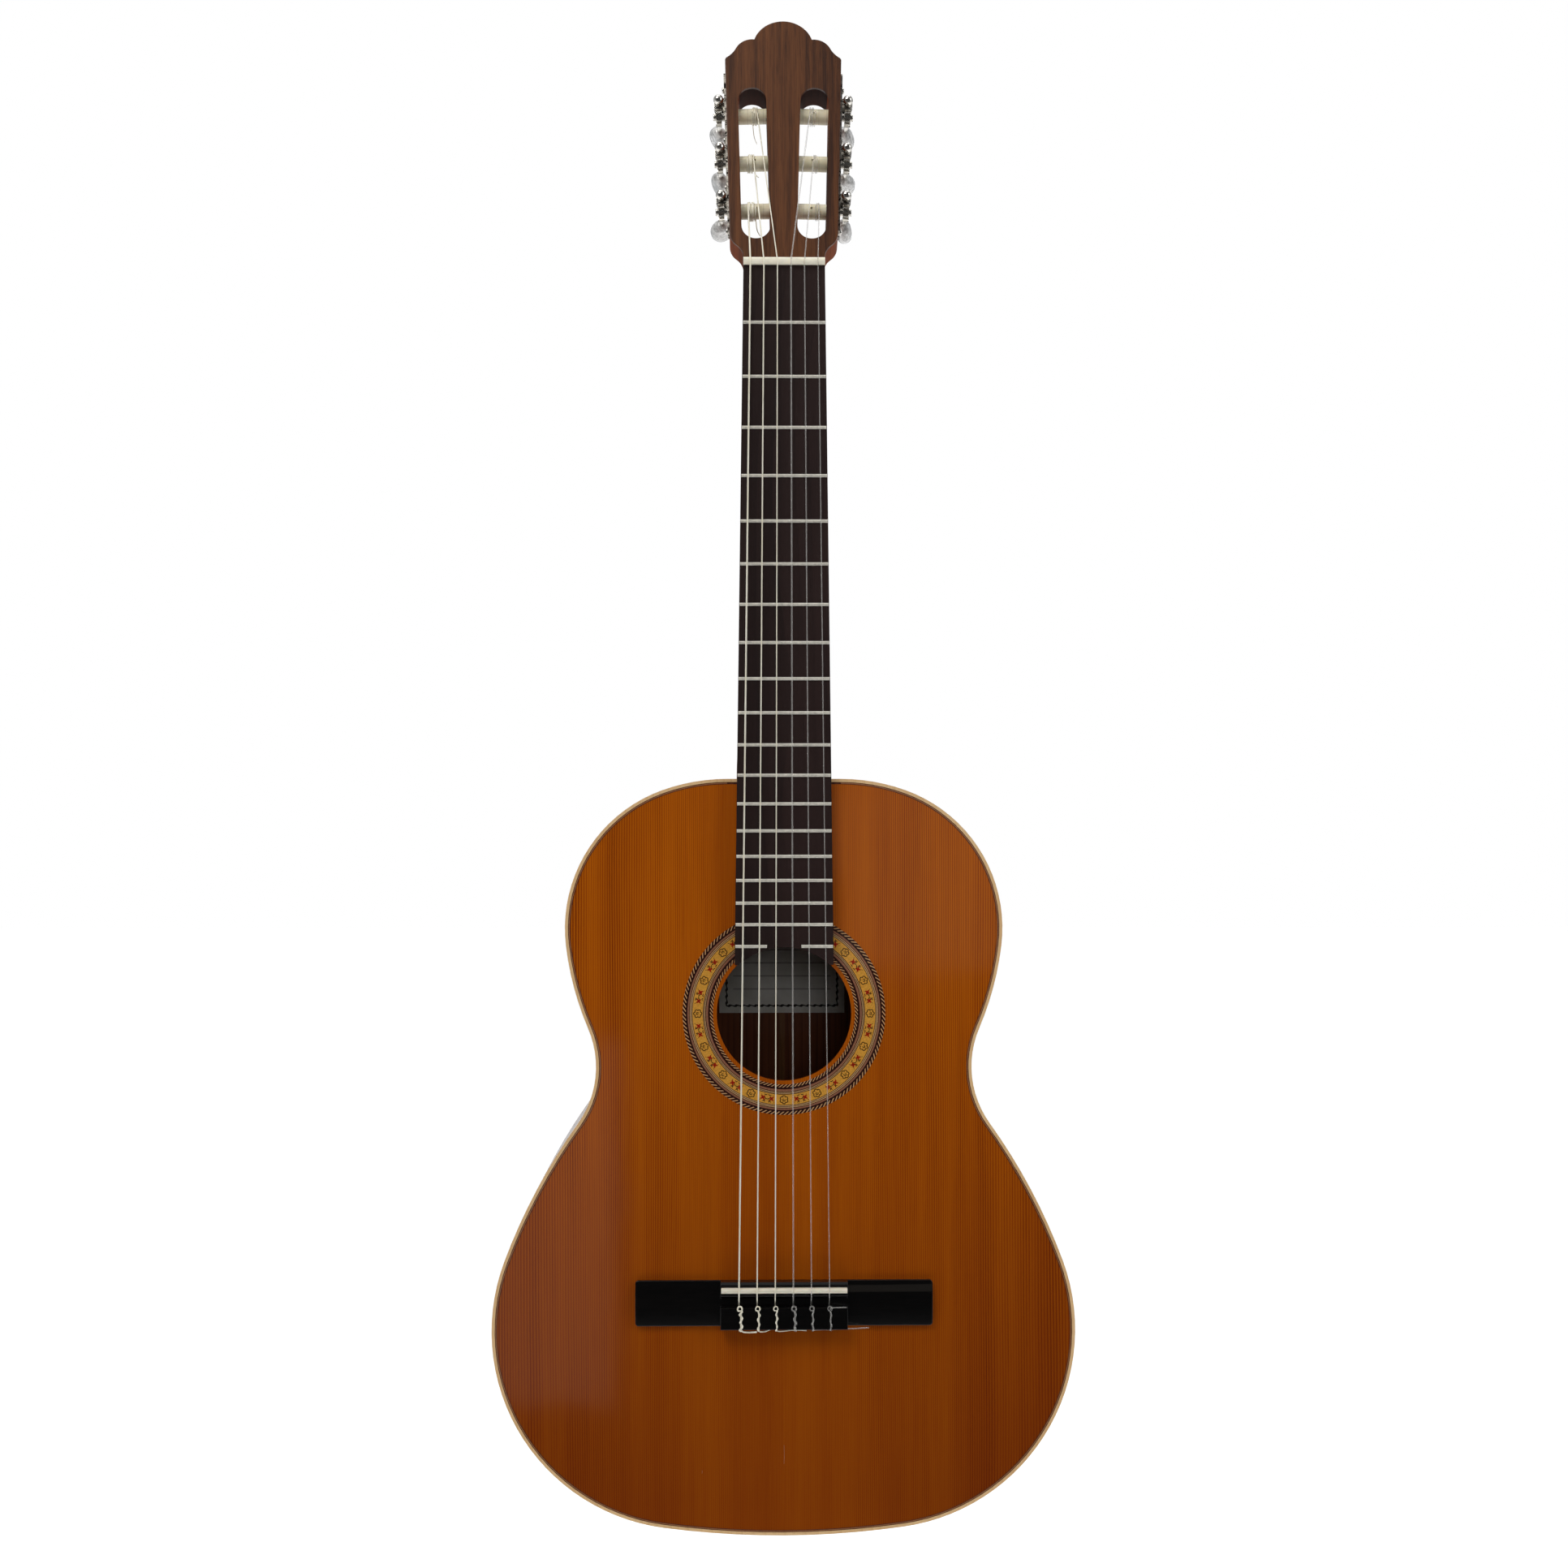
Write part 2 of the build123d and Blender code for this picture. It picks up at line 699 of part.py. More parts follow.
# ---------------------------------------------------------------- strings
def string_x(n, spread):
    """Where string n of six crosses the nut or the saddle; the first is on the treble side."""
    return spread * (3.5 - n) / 5


def string_points(n):
    """The string's line: tie block, hole, saddle, nut, and where it meets its roller."""
    r = STRING_D[n - 1] / 2
    side = 1 if n <= 3 else -1
    saddle_x = string_x(n, SADDLE_SPREAD)
    tie_z = BRIDGE_TOP_Z - BRIDGE_L
    behind = tie_z - r - 0.15
    over = -(BLOCK_H + r + 0.1)
    shift = 2 * r + 0.2
    lean = tan(radians(STRING_BREAK / 2)) * (SADDLE_T / 2 + r)
    nut_n = HEAD.to_local_coords(Vector(0, -STRING_NUT_H - r, NUT_Z + NUT_T / 2))
    axis_s = MACHINE_S + MACHINE_OF[n - 1] * MACHINE_PITCH
    away = Vector(nut_n.Y - axis_s, nut_n.Z - ROLLER_N)
    reach = ROLLER_R + RUNNING + r
    swing = degrees(atan(sqrt(away.length**2 - reach**2) / reach))
    meet = away.normalized().rotate(Axis.Z, -swing) * reach
    roller = HEAD.from_local_coords((side * WOUND_X[n - 1], axis_s + meet.X, ROLLER_N + meet.Y))
    return [
        Vector(saddle_x + shift, over, tie_z + TIE_L - 2),
        Vector(saddle_x + shift, over, behind),
        Vector(saddle_x, -TIE_HOLE_H, behind),
        Vector(saddle_x, -TIE_HOLE_H, tie_z + TIE_L),
        Vector(saddle_x, -SADDLE_H - r, SADDLE_Z - lean),
        Vector(string_x(n, NUT_SPREAD), -STRING_NUT_H - r, NUT_Z + NUT_T / 2),
        roller,
    ]


def rod(start, end, r, mode=Mode.ADD):
    """A round rod from point to point, with a ball at its start that fills the bend."""
    with BuildSketch(Plane(origin=start, z_dir=end - start)) as section:
        Circle(r)
    extrude(section.sketch, amount=(end - start).length, mode=mode)
    with Locations(start):
        Sphere(r, mode=mode)


def string(n):
    points = string_points(n)
    r = STRING_D[n - 1] / 2
    side = 1 if n <= 3 else -1
    place = MACHINE_OF[n - 1] * MACHINE_PITCH
    out = WOUND_X[n - 1] - side_x(MACHINE_S + place)
    with BuildPart() as line:
        for start, end in zip(points, points[1:]):
            rod(start, end, r)
        with BuildSketch(side_plane(side, place, out + r)):
            Circle(ROLLER_R + RUNNING + 2 * r)
            Circle(ROLLER_R + RUNNING, mode=Mode.SUBTRACT)
        extrude(amount=-2 * r * WRAPS)
    return line.part


def nut():
    """Bone, rounded over towards the headstock, with a groove for each string."""
    with BuildPart() as bone:
        with BuildSketch(Plane.YZ.offset(-BOARD_NUT_W / 2)):
            with BuildLine():
                Polyline((0, NUT_Z + NUT_T), (0, NUT_Z), (-NUT_H, NUT_Z))
                Spline(
                    (-NUT_H, NUT_Z),
                    (-NUT_H + 0.3, NUT_Z + NUT_T * 0.6),
                    (-NUT_H + 1.6, NUT_Z + NUT_T),
                )
                Line((-NUT_H + 1.6, NUT_Z + NUT_T), (0, NUT_Z + NUT_T))
            make_face()
        extrude(amount=BOARD_NUT_W)
        for n in range(1, 7):
            saddle, middle, roller = string_points(n)[4:7]
            groove = STRING_D[n - 1] / 2 + 0.03
            rod(middle, middle + (saddle - middle).normalized() * 10, groove, mode=Mode.SUBTRACT)
            rod(middle, middle + (roller - middle).normalized() * 10, groove, mode=Mode.SUBTRACT)
    return bone.part


# ---------------------------------------------------------------- bridge
def bridge():
    """Wings, the block around the saddle, and the tie block with a hole for each string."""
    low_z = BRIDGE_TOP_Z - BRIDGE_L
    mid_z = BRIDGE_TOP_Z - BRIDGE_L / 2
    with BuildPart() as wood:
        with BuildSketch(Plane.YZ.offset(-BRIDGE_W / 2)):
            with BuildLine():
                Polyline(
                    (-WING_EDGE, low_z + 1),
                    (0, low_z + 1),
                    (0, BRIDGE_TOP_Z),
                    (-WING_EDGE, BRIDGE_TOP_Z),
                )
                ThreePointArc((-WING_EDGE, BRIDGE_TOP_Z), (-WING_H, mid_z), (-WING_EDGE, low_z + 1))
            make_face()
        extrude(amount=BRIDGE_W)
        fillet(wood.edges().filter_by(Axis.Y), 2.0)
        with BuildSketch(Plane.YZ.offset(-BLOCK_W / 2)):
            with BuildLine():
                Polyline(
                    (0, low_z),
                    (0, BRIDGE_TOP_Z),
                    (-BLOCK_H + 1.5, BRIDGE_TOP_Z),
                    (-BLOCK_H, BRIDGE_TOP_Z - 1.5),
                    (-BLOCK_H, BRIDGE_TOP_Z - SADDLE_WALL),
                    (-CHANNEL_H, BRIDGE_TOP_Z - SADDLE_WALL - 3),
                    (-CHANNEL_H, low_z + TIE_L),
                    (-BLOCK_H, low_z + TIE_L),
                    (-BLOCK_H, low_z),
                    close=True,
                )
            make_face()
        extrude(amount=BLOCK_W)
        with Locations((0, -SADDLE_SEAT - 5, SADDLE_Z)):
            Box(SADDLE_W, 10, SADDLE_T, mode=Mode.SUBTRACT)
        for n in range(1, 7):
            with BuildSketch(level(low_z - 1)):
                with Locations((string_x(n, SADDLE_SPREAD), -TIE_HOLE_H)):
                    Circle(TIE_HOLE_R)
            extrude(amount=TIE_L + 2, mode=Mode.SUBTRACT)
    return wood.part


def saddle():
    with BuildPart() as bone:
        with Locations((0, -(SADDLE_SEAT + SADDLE_H) / 2, SADDLE_Z)):
            Box(SADDLE_W, SADDLE_H - SADDLE_SEAT, SADDLE_T)
        crown = bone.edges().filter_by(Axis.X).group_by(Axis.Y)[0]
        fillet(crown, SADDLE_T / 2 - 0.05)
    return bone.part


# ---------------------------------------------------------------- tuning machines
def roller():
    """The plastic sleeve that a string winds on, bored for its spindle and for the string."""
    with BuildPart() as sleeve:
        with BuildSketch(Plane.YZ.offset(ROLLER_OUT)):
            Circle(ROLLER_R)
            Circle(SPINDLE_R, mode=Mode.SUBTRACT)
        extrude(amount=ROLLER_END - ROLLER_OUT)
        with BuildSketch(Plane.XY.offset(-ROLLER_R - 1)):
            with Locations((STRING_HOLE_X, 0)):
                Circle(STRING_HOLE_R)
        extrude(amount=2 * ROLLER_R + 2, mode=Mode.SUBTRACT)
    return sleeve.part


def gear():
    """Spindle, gear wheel with slanted teeth, and the slotted screw that holds it on."""
    gap_low = (WORM_PITCH + MESH_GAP) / 4 - FLANK * (PITCH_R - GEAR_ROOT_R)
    gap_high = (WORM_PITCH + MESH_GAP) / 4 + FLANK * (GEAR_R + 1 - PITCH_R)
    with BuildPart() as wheel:
        with BuildSketch(Plane.YZ.offset(GEAR_X - GEAR_T / 2)):
            Circle(GEAR_R)
        extrude(amount=GEAR_T)
        for n in range(GEAR_TEETH):
            turned = Location((GEAR_X, 0, 0), (n * 360 / GEAR_TEETH, 0, 0))
            slant = turned * Location((0, 0, 0), (0, -LEAD, 0)) * Location((0, 0, 0), (0, 90, 0))
            with BuildSketch(Plane(slant)):
                with BuildLine():
                    Polyline(
                        (-gap_low, GEAR_ROOT_R),
                        (gap_low, GEAR_ROOT_R),
                        (gap_high, GEAR_R + 1),
                        (-gap_high, GEAR_R + 1),
                        close=True,
                    )
                make_face()
            extrude(amount=GEAR_T, both=True, mode=Mode.SUBTRACT)
        with BuildSketch(Plane.YZ.offset(ROLLER_END)):
            Circle(SPINDLE_R)
        extrude(amount=GEAR_X - ROLLER_END)
        with BuildSketch(Plane.XY.offset(-ROLLER_R - 1)):
            with Locations((STRING_HOLE_X, 0)):
                Circle(STRING_HOLE_R)
        extrude(amount=2 * ROLLER_R + 2, mode=Mode.SUBTRACT)
    with BuildPart() as screw:
        with BuildSketch(Plane.YZ.offset(GEAR_X + GEAR_T / 2)):
            Circle(GEAR_SCREW_R)
        extrude(amount=GEAR_SCREW_T)
        fillet(screw.edges().filter_by(GeomType.CIRCLE).sort_by(Axis.X)[-1], 0.6)
        with Locations((GEAR_X + GEAR_T / 2 + GEAR_SCREW_T, 0, 0)):
            Box(1.2, 2 * GEAR_SCREW_R + 1, 0.7, mode=Mode.SUBTRACT)
    return Compound([wheel.part, screw.part])


def worm():
    """Worm, shaft and ball end in one, standing along z with the gear's mesh on its -y side."""
    width = (WORM_PITCH - MESH_GAP) / 4
    low = width + FLANK * (WORM_PITCH_R - WORM_ROOT_R + 0.3)
    high = width - FLANK * (WORM_R - WORM_PITCH_R)
    with BuildPart() as thread:
        rise = WORM_TURNS * WORM_PITCH
        with BuildLine() as spine:
            helix = Helix(WORM_PITCH, rise, WORM_PITCH_R, center=(0, 0, -rise / 2))
        with BuildSketch(Plane(origin=helix @ 0, x_dir=(1, 0, 0), z_dir=helix % 0)):
            with BuildLine():
                Polyline(
                    (WORM_ROOT_R - 0.3 - WORM_PITCH_R, -low),
                    (WORM_R - WORM_PITCH_R, -high),
                    (WORM_R - WORM_PITCH_R, high),
                    (WORM_ROOT_R - 0.3 - WORM_PITCH_R, low),
                    close=True,
                )
            make_face()
        sweep(path=spine.line, is_frenet=True)
        with BuildSketch(Plane.XY.offset(-WORM_HALF)):
            Circle(WORM_R + 1)
        extrude(amount=2 * WORM_HALF, mode=Mode.INTERSECT)
    in_mesh = Location((GEAR_X, MESH, 0), (0, 0, -90))
    ear_out = EAR_IN + EAR_T + 0.2
    with BuildPart() as key:
        with BuildSketch(Plane.YZ):
            with BuildLine():
                Polyline(
                    (0, KNOB_Z + KNOB_L / 2 - 3),
                    (SHAFT_R, KNOB_Z + KNOB_L / 2 - 3),
                    (SHAFT_R, -ear_out - 6),
                    (COLLAR_R, -ear_out - 4.5),
                    (COLLAR_R, -ear_out),
                    (SHAFT_R, -ear_out),
                    (SHAFT_R, -WORM_HALF),
                    (WORM_ROOT_R, -WORM_HALF),
                    (WORM_ROOT_R, WORM_HALF),
                    (SHAFT_R, WORM_HALF),
                    (SHAFT_R, BALL_Z),
                    (0, BALL_Z),
                    close=True,
                )
            make_face()
        revolve(axis=Axis.Z)
        with Locations((0, 0, BALL_Z)):
            Sphere(BALL_R)
        with BuildSketch(Plane.XY.offset(WORM_HALF)):
            Circle(BALL_R + 1)
            Circle(SHAFT_R, mode=Mode.SUBTRACT)
        extrude(amount=ear_out - WORM_HALF, mode=Mode.SUBTRACT)
    return in_mesh * (key.part + thread.part)


def knob(turn):
    """The oval button on the end of the worm's shaft."""
    with BuildPart() as button:
        with BuildSketch(Plane.YZ.offset(-KNOB_T / 2)):
            with Locations((0, KNOB_Z)):
                Ellipse(KNOB_W / 2, KNOB_L / 2)
        extrude(amount=KNOB_T)
        fillet(button.edges(), KNOB_T / 2 - 0.6)
        with BuildSketch(Plane.XY.offset(KNOB_Z + KNOB_L / 2 - 3)):
            Circle(SHAFT_R)
        extrude(amount=10, mode=Mode.SUBTRACT)
    return Location((GEAR_X, MESH, 0), (0, 0, turn)) * button.part


def tuner_plate():
    """One long plate that carries three machines, with an ear at each end of each worm."""
    low = -MACHINE_PITCH - PLATE_BELOW
    high = MACHINE_PITCH + PLATE_ABOVE
    with BuildPart() as plate:
        with BuildSketch(Plane.YZ):
            with Locations(((low + high) / 2, 0)):
                RectangleRounded(high - low, PLATE_H, 3.0)
        extrude(amount=PLATE_T)
        for place in (-1, 0, 1):
            y = place * MACHINE_PITCH
            for z in (EAR_IN, -EAR_IN - EAR_T):
                with BuildSketch(Plane.XY.offset(z)):
                    with Locations((GEAR_X, y + MESH)):
                        Circle(EAR_R)
                    with Locations((GEAR_X / 2 + 0.3, y + MESH)):
                        Rectangle(GEAR_X - 0.6, 2 * EAR_R)
                extrude(amount=EAR_T)
                with BuildSketch(Plane.XY.offset(z)):
                    with Locations((GEAR_X, y + MESH)):
                        Circle(SHAFT_R + RUNNING)
                extrude(amount=EAR_T, mode=Mode.SUBTRACT)
            with BuildSketch(Plane.YZ):
                with Locations((y, 0)):
                    Circle(SPINDLE_R + RUNNING)
            extrude(amount=PLATE_T, mode=Mode.SUBTRACT)
        with BuildSketch(Plane.YZ):
            with Locations(*[(y, 0) for y in SCREW_YS]):
                Circle(SCREW_R)
        extrude(amount=PLATE_T, mode=Mode.SUBTRACT)
    return plate.part


def plate_screws():
    """The round-headed screws that hold the plates to the headstock's sides."""
    screws = []
    for side in SIDES.values():
        for y in SCREW_YS:
            with BuildPart() as screw:
                with BuildSketch(side_plane(side, y, PLATE_T)):
                    Circle(SCREW_HEAD_R)
                extrude(amount=1.3)
                fillet(screw.edges().filter_by(GeomType.CIRCLE).sort_by(Axis.X)[-1 if side > 0 else 0], 0.8)
                with BuildSketch(side_plane(side, y, PLATE_T)):
                    Circle(SCREW_R)
                extrude(amount=-SCREW_L)
            screws.append(screw.part)
    return Compound(screws)


# ---------------------------------------------------------------- every piece, by name
def on_side(part, side, place=0):
    """A machine's piece moved to its place on the treble side, or mirrored to the bass side."""
    placed = SIDE * Location((0, place * MACHINE_PITCH, 0)) * part
    return placed if side > 0 else mirror(placed, about=Plane.YZ)


for hand, side in SIDES.items():
    save(soundboard(side), f"soundboard_{hand}")
    save(back_plate(side), f"back_{hand}")
    save(rib(side), f"rib_{hand}")
    save(on_side(tuner_plate(), side), f"tuner_plate_{hand}")

save(rosette(), "rosette")
save(edge_strip(0, RIB, 0, BINDING_DEPTH, board_half(BODY_TOP_Z)), "top_binding")
save(edge_strip(RIB, PURFLING, 0, PURFLING, 0), "top_purfling")
save(edge_strip(0, RIB, BACK_LOW, BODY_DEPTH + 1, HEEL_END[0], (0, BINDING_DEPTH)), "back_binding")
save(back_inlay(), "back_inlay")
save(tail_graft(), "tail_graft")
save(linings(PLATE, PLATE + LINING_HEIGHT), "top_lining")
save(linings(BACK_LOW, BODY_DEPTH + 1, (PLATE, PLATE + LINING_HEIGHT)), "back_lining")
save(tail_block(), "tail_block")
save(top_braces(), "top_braces")
save(back_braces(), "back_braces")
save(soundhole_patch(), "soundhole_patch")
save(label(), "label")
save(neck(), "neck")
save(heel_cap(), "heel_cap")
save(headstock_veneer(), "headstock_veneer")
save(fingerboard(), "fingerboard")
save(frets(), "frets")
save(nut(), "nut")
save(bridge(), "bridge")
save(saddle(), "saddle")
save(plate_screws(), "plate_screws")

for n in range(1, 7):
    hand_side = 1 if n <= 3 else -1
    save(string(n), f"string_{n}")
    save(on_side(roller(), hand_side, MACHINE_OF[n - 1]), f"roller_{n}")
    save(on_side(gear(), hand_side, MACHINE_OF[n - 1]), f"gear_{n}")
    save(on_side(worm(), hand_side, MACHINE_OF[n - 1]), f"worm_{n}")
    save(on_side(knob(KNOB_TURNS[n]), hand_side, MACHINE_OF[n - 1]), f"button_{n}")
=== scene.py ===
"""Looks of the classical guitar: lacquered woods, mosaic rosette, strings, knots and tuning machines."""
import json
from math import acos, atan2, cos, pi, radians, sin, tan

import bmesh
import bpy
from mathutils import Matrix, Vector

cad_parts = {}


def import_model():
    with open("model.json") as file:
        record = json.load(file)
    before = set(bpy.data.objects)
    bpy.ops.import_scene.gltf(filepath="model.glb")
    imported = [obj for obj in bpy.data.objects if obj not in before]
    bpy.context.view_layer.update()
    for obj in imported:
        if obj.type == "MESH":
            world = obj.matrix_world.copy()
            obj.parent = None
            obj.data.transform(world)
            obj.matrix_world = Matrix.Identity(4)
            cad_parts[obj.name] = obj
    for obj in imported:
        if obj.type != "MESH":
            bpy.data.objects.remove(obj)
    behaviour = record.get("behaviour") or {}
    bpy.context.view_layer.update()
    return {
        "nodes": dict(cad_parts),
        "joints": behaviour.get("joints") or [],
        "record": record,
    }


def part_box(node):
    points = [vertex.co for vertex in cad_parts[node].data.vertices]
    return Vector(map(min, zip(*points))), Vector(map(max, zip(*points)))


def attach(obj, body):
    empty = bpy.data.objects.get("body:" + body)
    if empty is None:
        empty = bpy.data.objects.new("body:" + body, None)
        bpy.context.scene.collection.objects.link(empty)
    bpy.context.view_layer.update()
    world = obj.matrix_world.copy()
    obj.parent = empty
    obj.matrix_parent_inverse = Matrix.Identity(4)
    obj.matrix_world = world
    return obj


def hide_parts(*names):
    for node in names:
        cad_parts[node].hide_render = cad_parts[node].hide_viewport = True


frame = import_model()
MM = 0.001

# ---------------------------------------------------------------- places read from the frame
nut_low, nut_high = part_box("nut")
NUT_Z = nut_low.z  # where nut and fingerboard meet
rosette_low, rosette_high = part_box("rosette")
HOLE = Vector((0, 0, (rosette_low.z + rosette_high.z) / 2))
ROSETTE_R = (rosette_high.x - rosette_low.x) / 2
bridge_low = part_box("bridge")[0]
saddle_low, saddle_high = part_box("saddle")
top_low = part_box("top_binding")[0]
JOINTS = {joint["name"]: joint for joint in frame["joints"]}

# ---------------------------------------------------------------- sizes of the CAD model that its boxes don't give
ROSETTE_IN_R = 45.5 * MM
SLOT_MID_X, SLOT_W = 19.2 * MM, 18.5 * MM
FINGERBOARD_HALF = 30.0 * MM  # half width of the board where the outline meets it
STRING_D = tuple(d * MM for d in (0.72, 0.82, 1.02, 0.76, 0.90, 1.10))  # first to sixth
SADDLE_SPREAD = 57.5 * MM
NUT_SPREAD = 43.0 * MM
STRING_NUT_H = 8.7 * MM  # underside of the strings at the nut
SADDLE_H = 12.8 * MM
TIE_HOLE_H = 4.2 * MM
TIE_L = 14 * MM
BREAK = radians(38)  # how far a string turns down behind the saddle
WOUND_X = tuple(x * MM for x in (23.0, 19.5, 17.6, 17.2, 19.5, 23.0))  # where each string meets its roller
ROLLER_R = 5.08 * MM
ROLLER_HOLE = 22.5 * MM  # from the joint's place in to the string hole

# ---------------------------------------------------------------- sizes of what is only painted or printed
PRINT_LIFT = 0.03 * MM  # how far inlaid prints stand over the soundboard's plane, so that they show
LABEL_BORDER = 5 * MM
SCALLOP = 4.5 * MM  # length of a wave in the label's border
RULE_PITCH = 9 * MM  # between the label's rules
GROOVE_PITCH = 5.2 * MM  # between the turned grooves of a roller


# ---------------------------------------------------------------- node trees
class Look:
    """A material under construction: adds nodes, links them and sets the shader's sockets."""

    def __init__(self, name, **shader):
        self.material = bpy.data.materials.new(name)
        self.material.use_nodes = True
        self.tree = self.material.node_tree
        self.shader = self.tree.nodes["Principled BSDF"]
        for socket, value in shader.items():
            self.shader.inputs[socket.replace("_", " ").title()].default_value = value
        self._place = None

    def node(self, kind, inputs=(), **settings):
        made = self.tree.nodes.new("ShaderNode" + kind)
        for key, value in settings.items():
            setattr(made, key, value)
        for key, value in dict(inputs).items():
            if isinstance(value, bpy.types.NodeSocket):
                self.tree.links.new(value, made.inputs[key])
            else:
                made.inputs[key].default_value = value
        return made

    def place(self):
        """Where the shaded point is, in metres."""
        if self._place is None:
            self._place = self.node("TexCoord").outputs["Object"]
        return self._place

    def scaled(self, scale, vector=None):
        inputs = {"Vector": vector or self.place(), "Scale": scale}
        return self.node("Mapping", inputs).outputs["Vector"]

    def noise(self, scale, detail=3.0, rough=0.5, vector=None, size=1.0, distortion=0.0):
        inputs = {
            "Vector": self.scaled(scale, vector), "Scale": size, "Detail": detail,
            "Roughness": rough, "Distortion": distortion,
        }
        return self.node("TexNoise", inputs).outputs["Fac"]

    def math(self, operation, a, b=0.0):
        return self.node("Math", {0: a, 1: b}, operation=operation).outputs[0]

    def times(self, a, b):
        return self.math("MULTIPLY", a, b)

    def plus(self, a, b):
        return self.math("ADD", a, b)

    def minus(self, a, b):
        return self.math("SUBTRACT", a, b)

    def stripes(self, value, period, half_width):
        """One where value lies within half_width, in periods, of the middle of its period; else nought."""
        share = self.math("FRACT", self.math("DIVIDE", value, period))
        return self.math("LESS_THAN", self.math("ABSOLUTE", self.minus(share, 0.5)), half_width)

    def ramp(self, value, stops, ease="LINEAR"):
        made = self.node("ValToRGB", {"Fac": value})
        made.color_ramp.interpolation = ease
        elements = made.color_ramp.elements
        while len(elements) < len(stops):
            elements.new(0.5)
        for element, (position, colour) in zip(elements, stops):
            element.position = position
            element.color = (*colour, 1.0)
        return made.outputs["Color"]

    def grey(self, value, low, high, at_low=0.0, at_high=1.0):
        inputs = {"Value": value, "From Min": low, "From Max": high, "To Min": at_low, "To Max": at_high}
        return self.node("MapRange", inputs).outputs["Result"]

    def mix(self, fac, a, b, blend="MIX"):
        made = self.node("Mix", data_type="RGBA", blend_type=blend)
        made.clamp_factor = True
        for index, value in ((0, fac), (6, a), (7, b)):
            if isinstance(value, bpy.types.NodeSocket):
                self.tree.links.new(value, made.inputs[index])
            elif index == 0:
                made.inputs[index].default_value = value
            else:
                made.inputs[index].default_value = (*value, 1.0)
        return made.outputs[2]

    def bump(self, height, strength, distance):
        inputs = {"Height": height, "Strength": strength, "Distance": distance}
        return self.node("Bump", inputs).outputs["Normal"]

    def feed(self, **sockets):
        for socket, value in sockets.items():
            self.tree.links.new(value, self.shader.inputs[socket.replace("_", " ").title()])
        return self


def lacquer(name, roughness=0.38, coat=1.0, coat_roughness=0.06, **more):
    """Wood under a clear gloss coat."""
    look = Look(name, roughness=roughness, coat_weight=coat, coat_roughness=coat_roughness, **more)
    look.shader.inputs["Specular IOR Level"].default_value = 0.15
    return look


def rgb(red, green, blue):
    """A display colour, 0 to 255, as the linear colour that a shader takes."""
    def linear(value):
        share = value / 255
        return share / 12.92 if share <= 0.04045 else ((share + 0.055) / 1.055) ** 2.4
    return linear(red), linear(green), linear(blue)


# ---------------------------------------------------------------- woods
def grained(look, light, dark, lines, length, contrast=1.0, mirrored=False):
    """Straight grain along z: growth lines per metre, slow colour changes and fine pores."""
    split = look.node("SeparateXYZ", {0: look.place()}).outputs
    across = split[0]
    if mirrored:
        across = look.math("ABSOLUTE", across)
    joined = look.node("CombineXYZ", {0: across, 1: 0.0, 2: split[2]}).outputs[0]
    wander = look.noise((12, 1, 2.2), 2.0, 0.5, joined)
    phase = look.plus(look.times(across, lines), look.times(wander, 9.0))
    ring = look.math("FRACT", phase)
    late = look.math("POWER", ring, 3.0)
    strength = look.noise((60, 1, 3), 3.0, 0.6, joined)
    late = look.times(late, look.grey(strength, 0.3, 0.7, 0.25, 1.0))
    fibre = look.noise((2400, 1, 26), 3.0, 0.6, joined)
    slow = look.noise((22, 1, length), 3.0, 0.55, joined)
    shade = look.grey(slow, 0.3, 0.7, 0.0, 0.45)
    mixed = look.plus(look.times(late, 0.42 * contrast), shade)
    mixed = look.plus(mixed, look.grey(fibre, 0.3, 0.7, -0.06, 0.10))
    return look.ramp(mixed, [(0.0, light), (1.0, dark)]), fibre


def cedar():
    """Quarter-sawn cedar, finest at the middle joint, under a high gloss that is not quite flat."""
    look = lacquer("cedar_top", roughness=0.5, coat_roughness=0.07)
    look.shader.inputs["Specular IOR Level"].default_value = 0.04
    split = look.node("SeparateXYZ", {0: look.place()}).outputs
    across = look.math("ABSOLUTE", split[0])
    widening = look.times(look.times(across, across), 1050.0)
    wander = look.noise((14, 1, 1.6), 2.0, 0.5)
    count = look.minus(look.times(across, 900.0), widening)
    ring = look.math("FRACT", look.plus(count, look.times(wander, 7.0)))
    late = look.math("POWER", ring, 2.6)
    strength = look.noise((70, 1, 2), 3.0, 0.6)
    edge = look.grey(across, 0.02, 0.16, 0.40, 1.0)
    late = look.times(look.times(late, edge), look.grey(strength, 0.3, 0.7, 0.1, 1.25))
    fibre = look.noise((2600, 1, 22), 3.0, 0.65)
    slow = look.noise((26, 1, 1.5), 3.0, 0.55)
    mixed = look.plus(look.times(late, 1.15), look.grey(slow, 0.3, 0.7, 0.0, 0.24))
    mixed = look.plus(mixed, look.grey(fibre, 0.3, 0.7, -0.07, 0.12))
    colour = look.ramp(mixed, [(0.0, rgb(200, 104, 4)), (0.45, rgb(158, 70, 0)), (1.0, rgb(100, 32, 0))])
    # the lower bout turns darker and redder towards the bottom, and a little more so towards its sides
    low = look.grey(split[2], -0.46, -0.80, 0.0, 1.0)
    wide = look.grey(across, 0.03, 0.17, 0.72, 1.0)
    colour = look.mix(look.times(look.times(low, wide), 0.72), colour, rgb(104, 32, 0))
    waves = look.noise((9, 9, 9), 2.0, 0.4)
    look.feed(
        base_color=colour,
        normal=look.bump(late, 0.12, 0.0001),
        coat_normal=look.bump(waves, 0.10, 0.004),
    )
    return look.material


def rosewood():
    """Back and purfling stock, its dark lines mirrored about the middle joint."""
    look = lacquer("rosewood", roughness=0.40, coat=0.45)
    colour, fibre = grained(look, rgb(104, 58, 36), rgb(38, 16, 10), 210, 2.5, contrast=1.4, mirrored=True)
    look.feed(base_color=colour, normal=look.bump(fibre, 0.10, 0.0001))
    return look.material


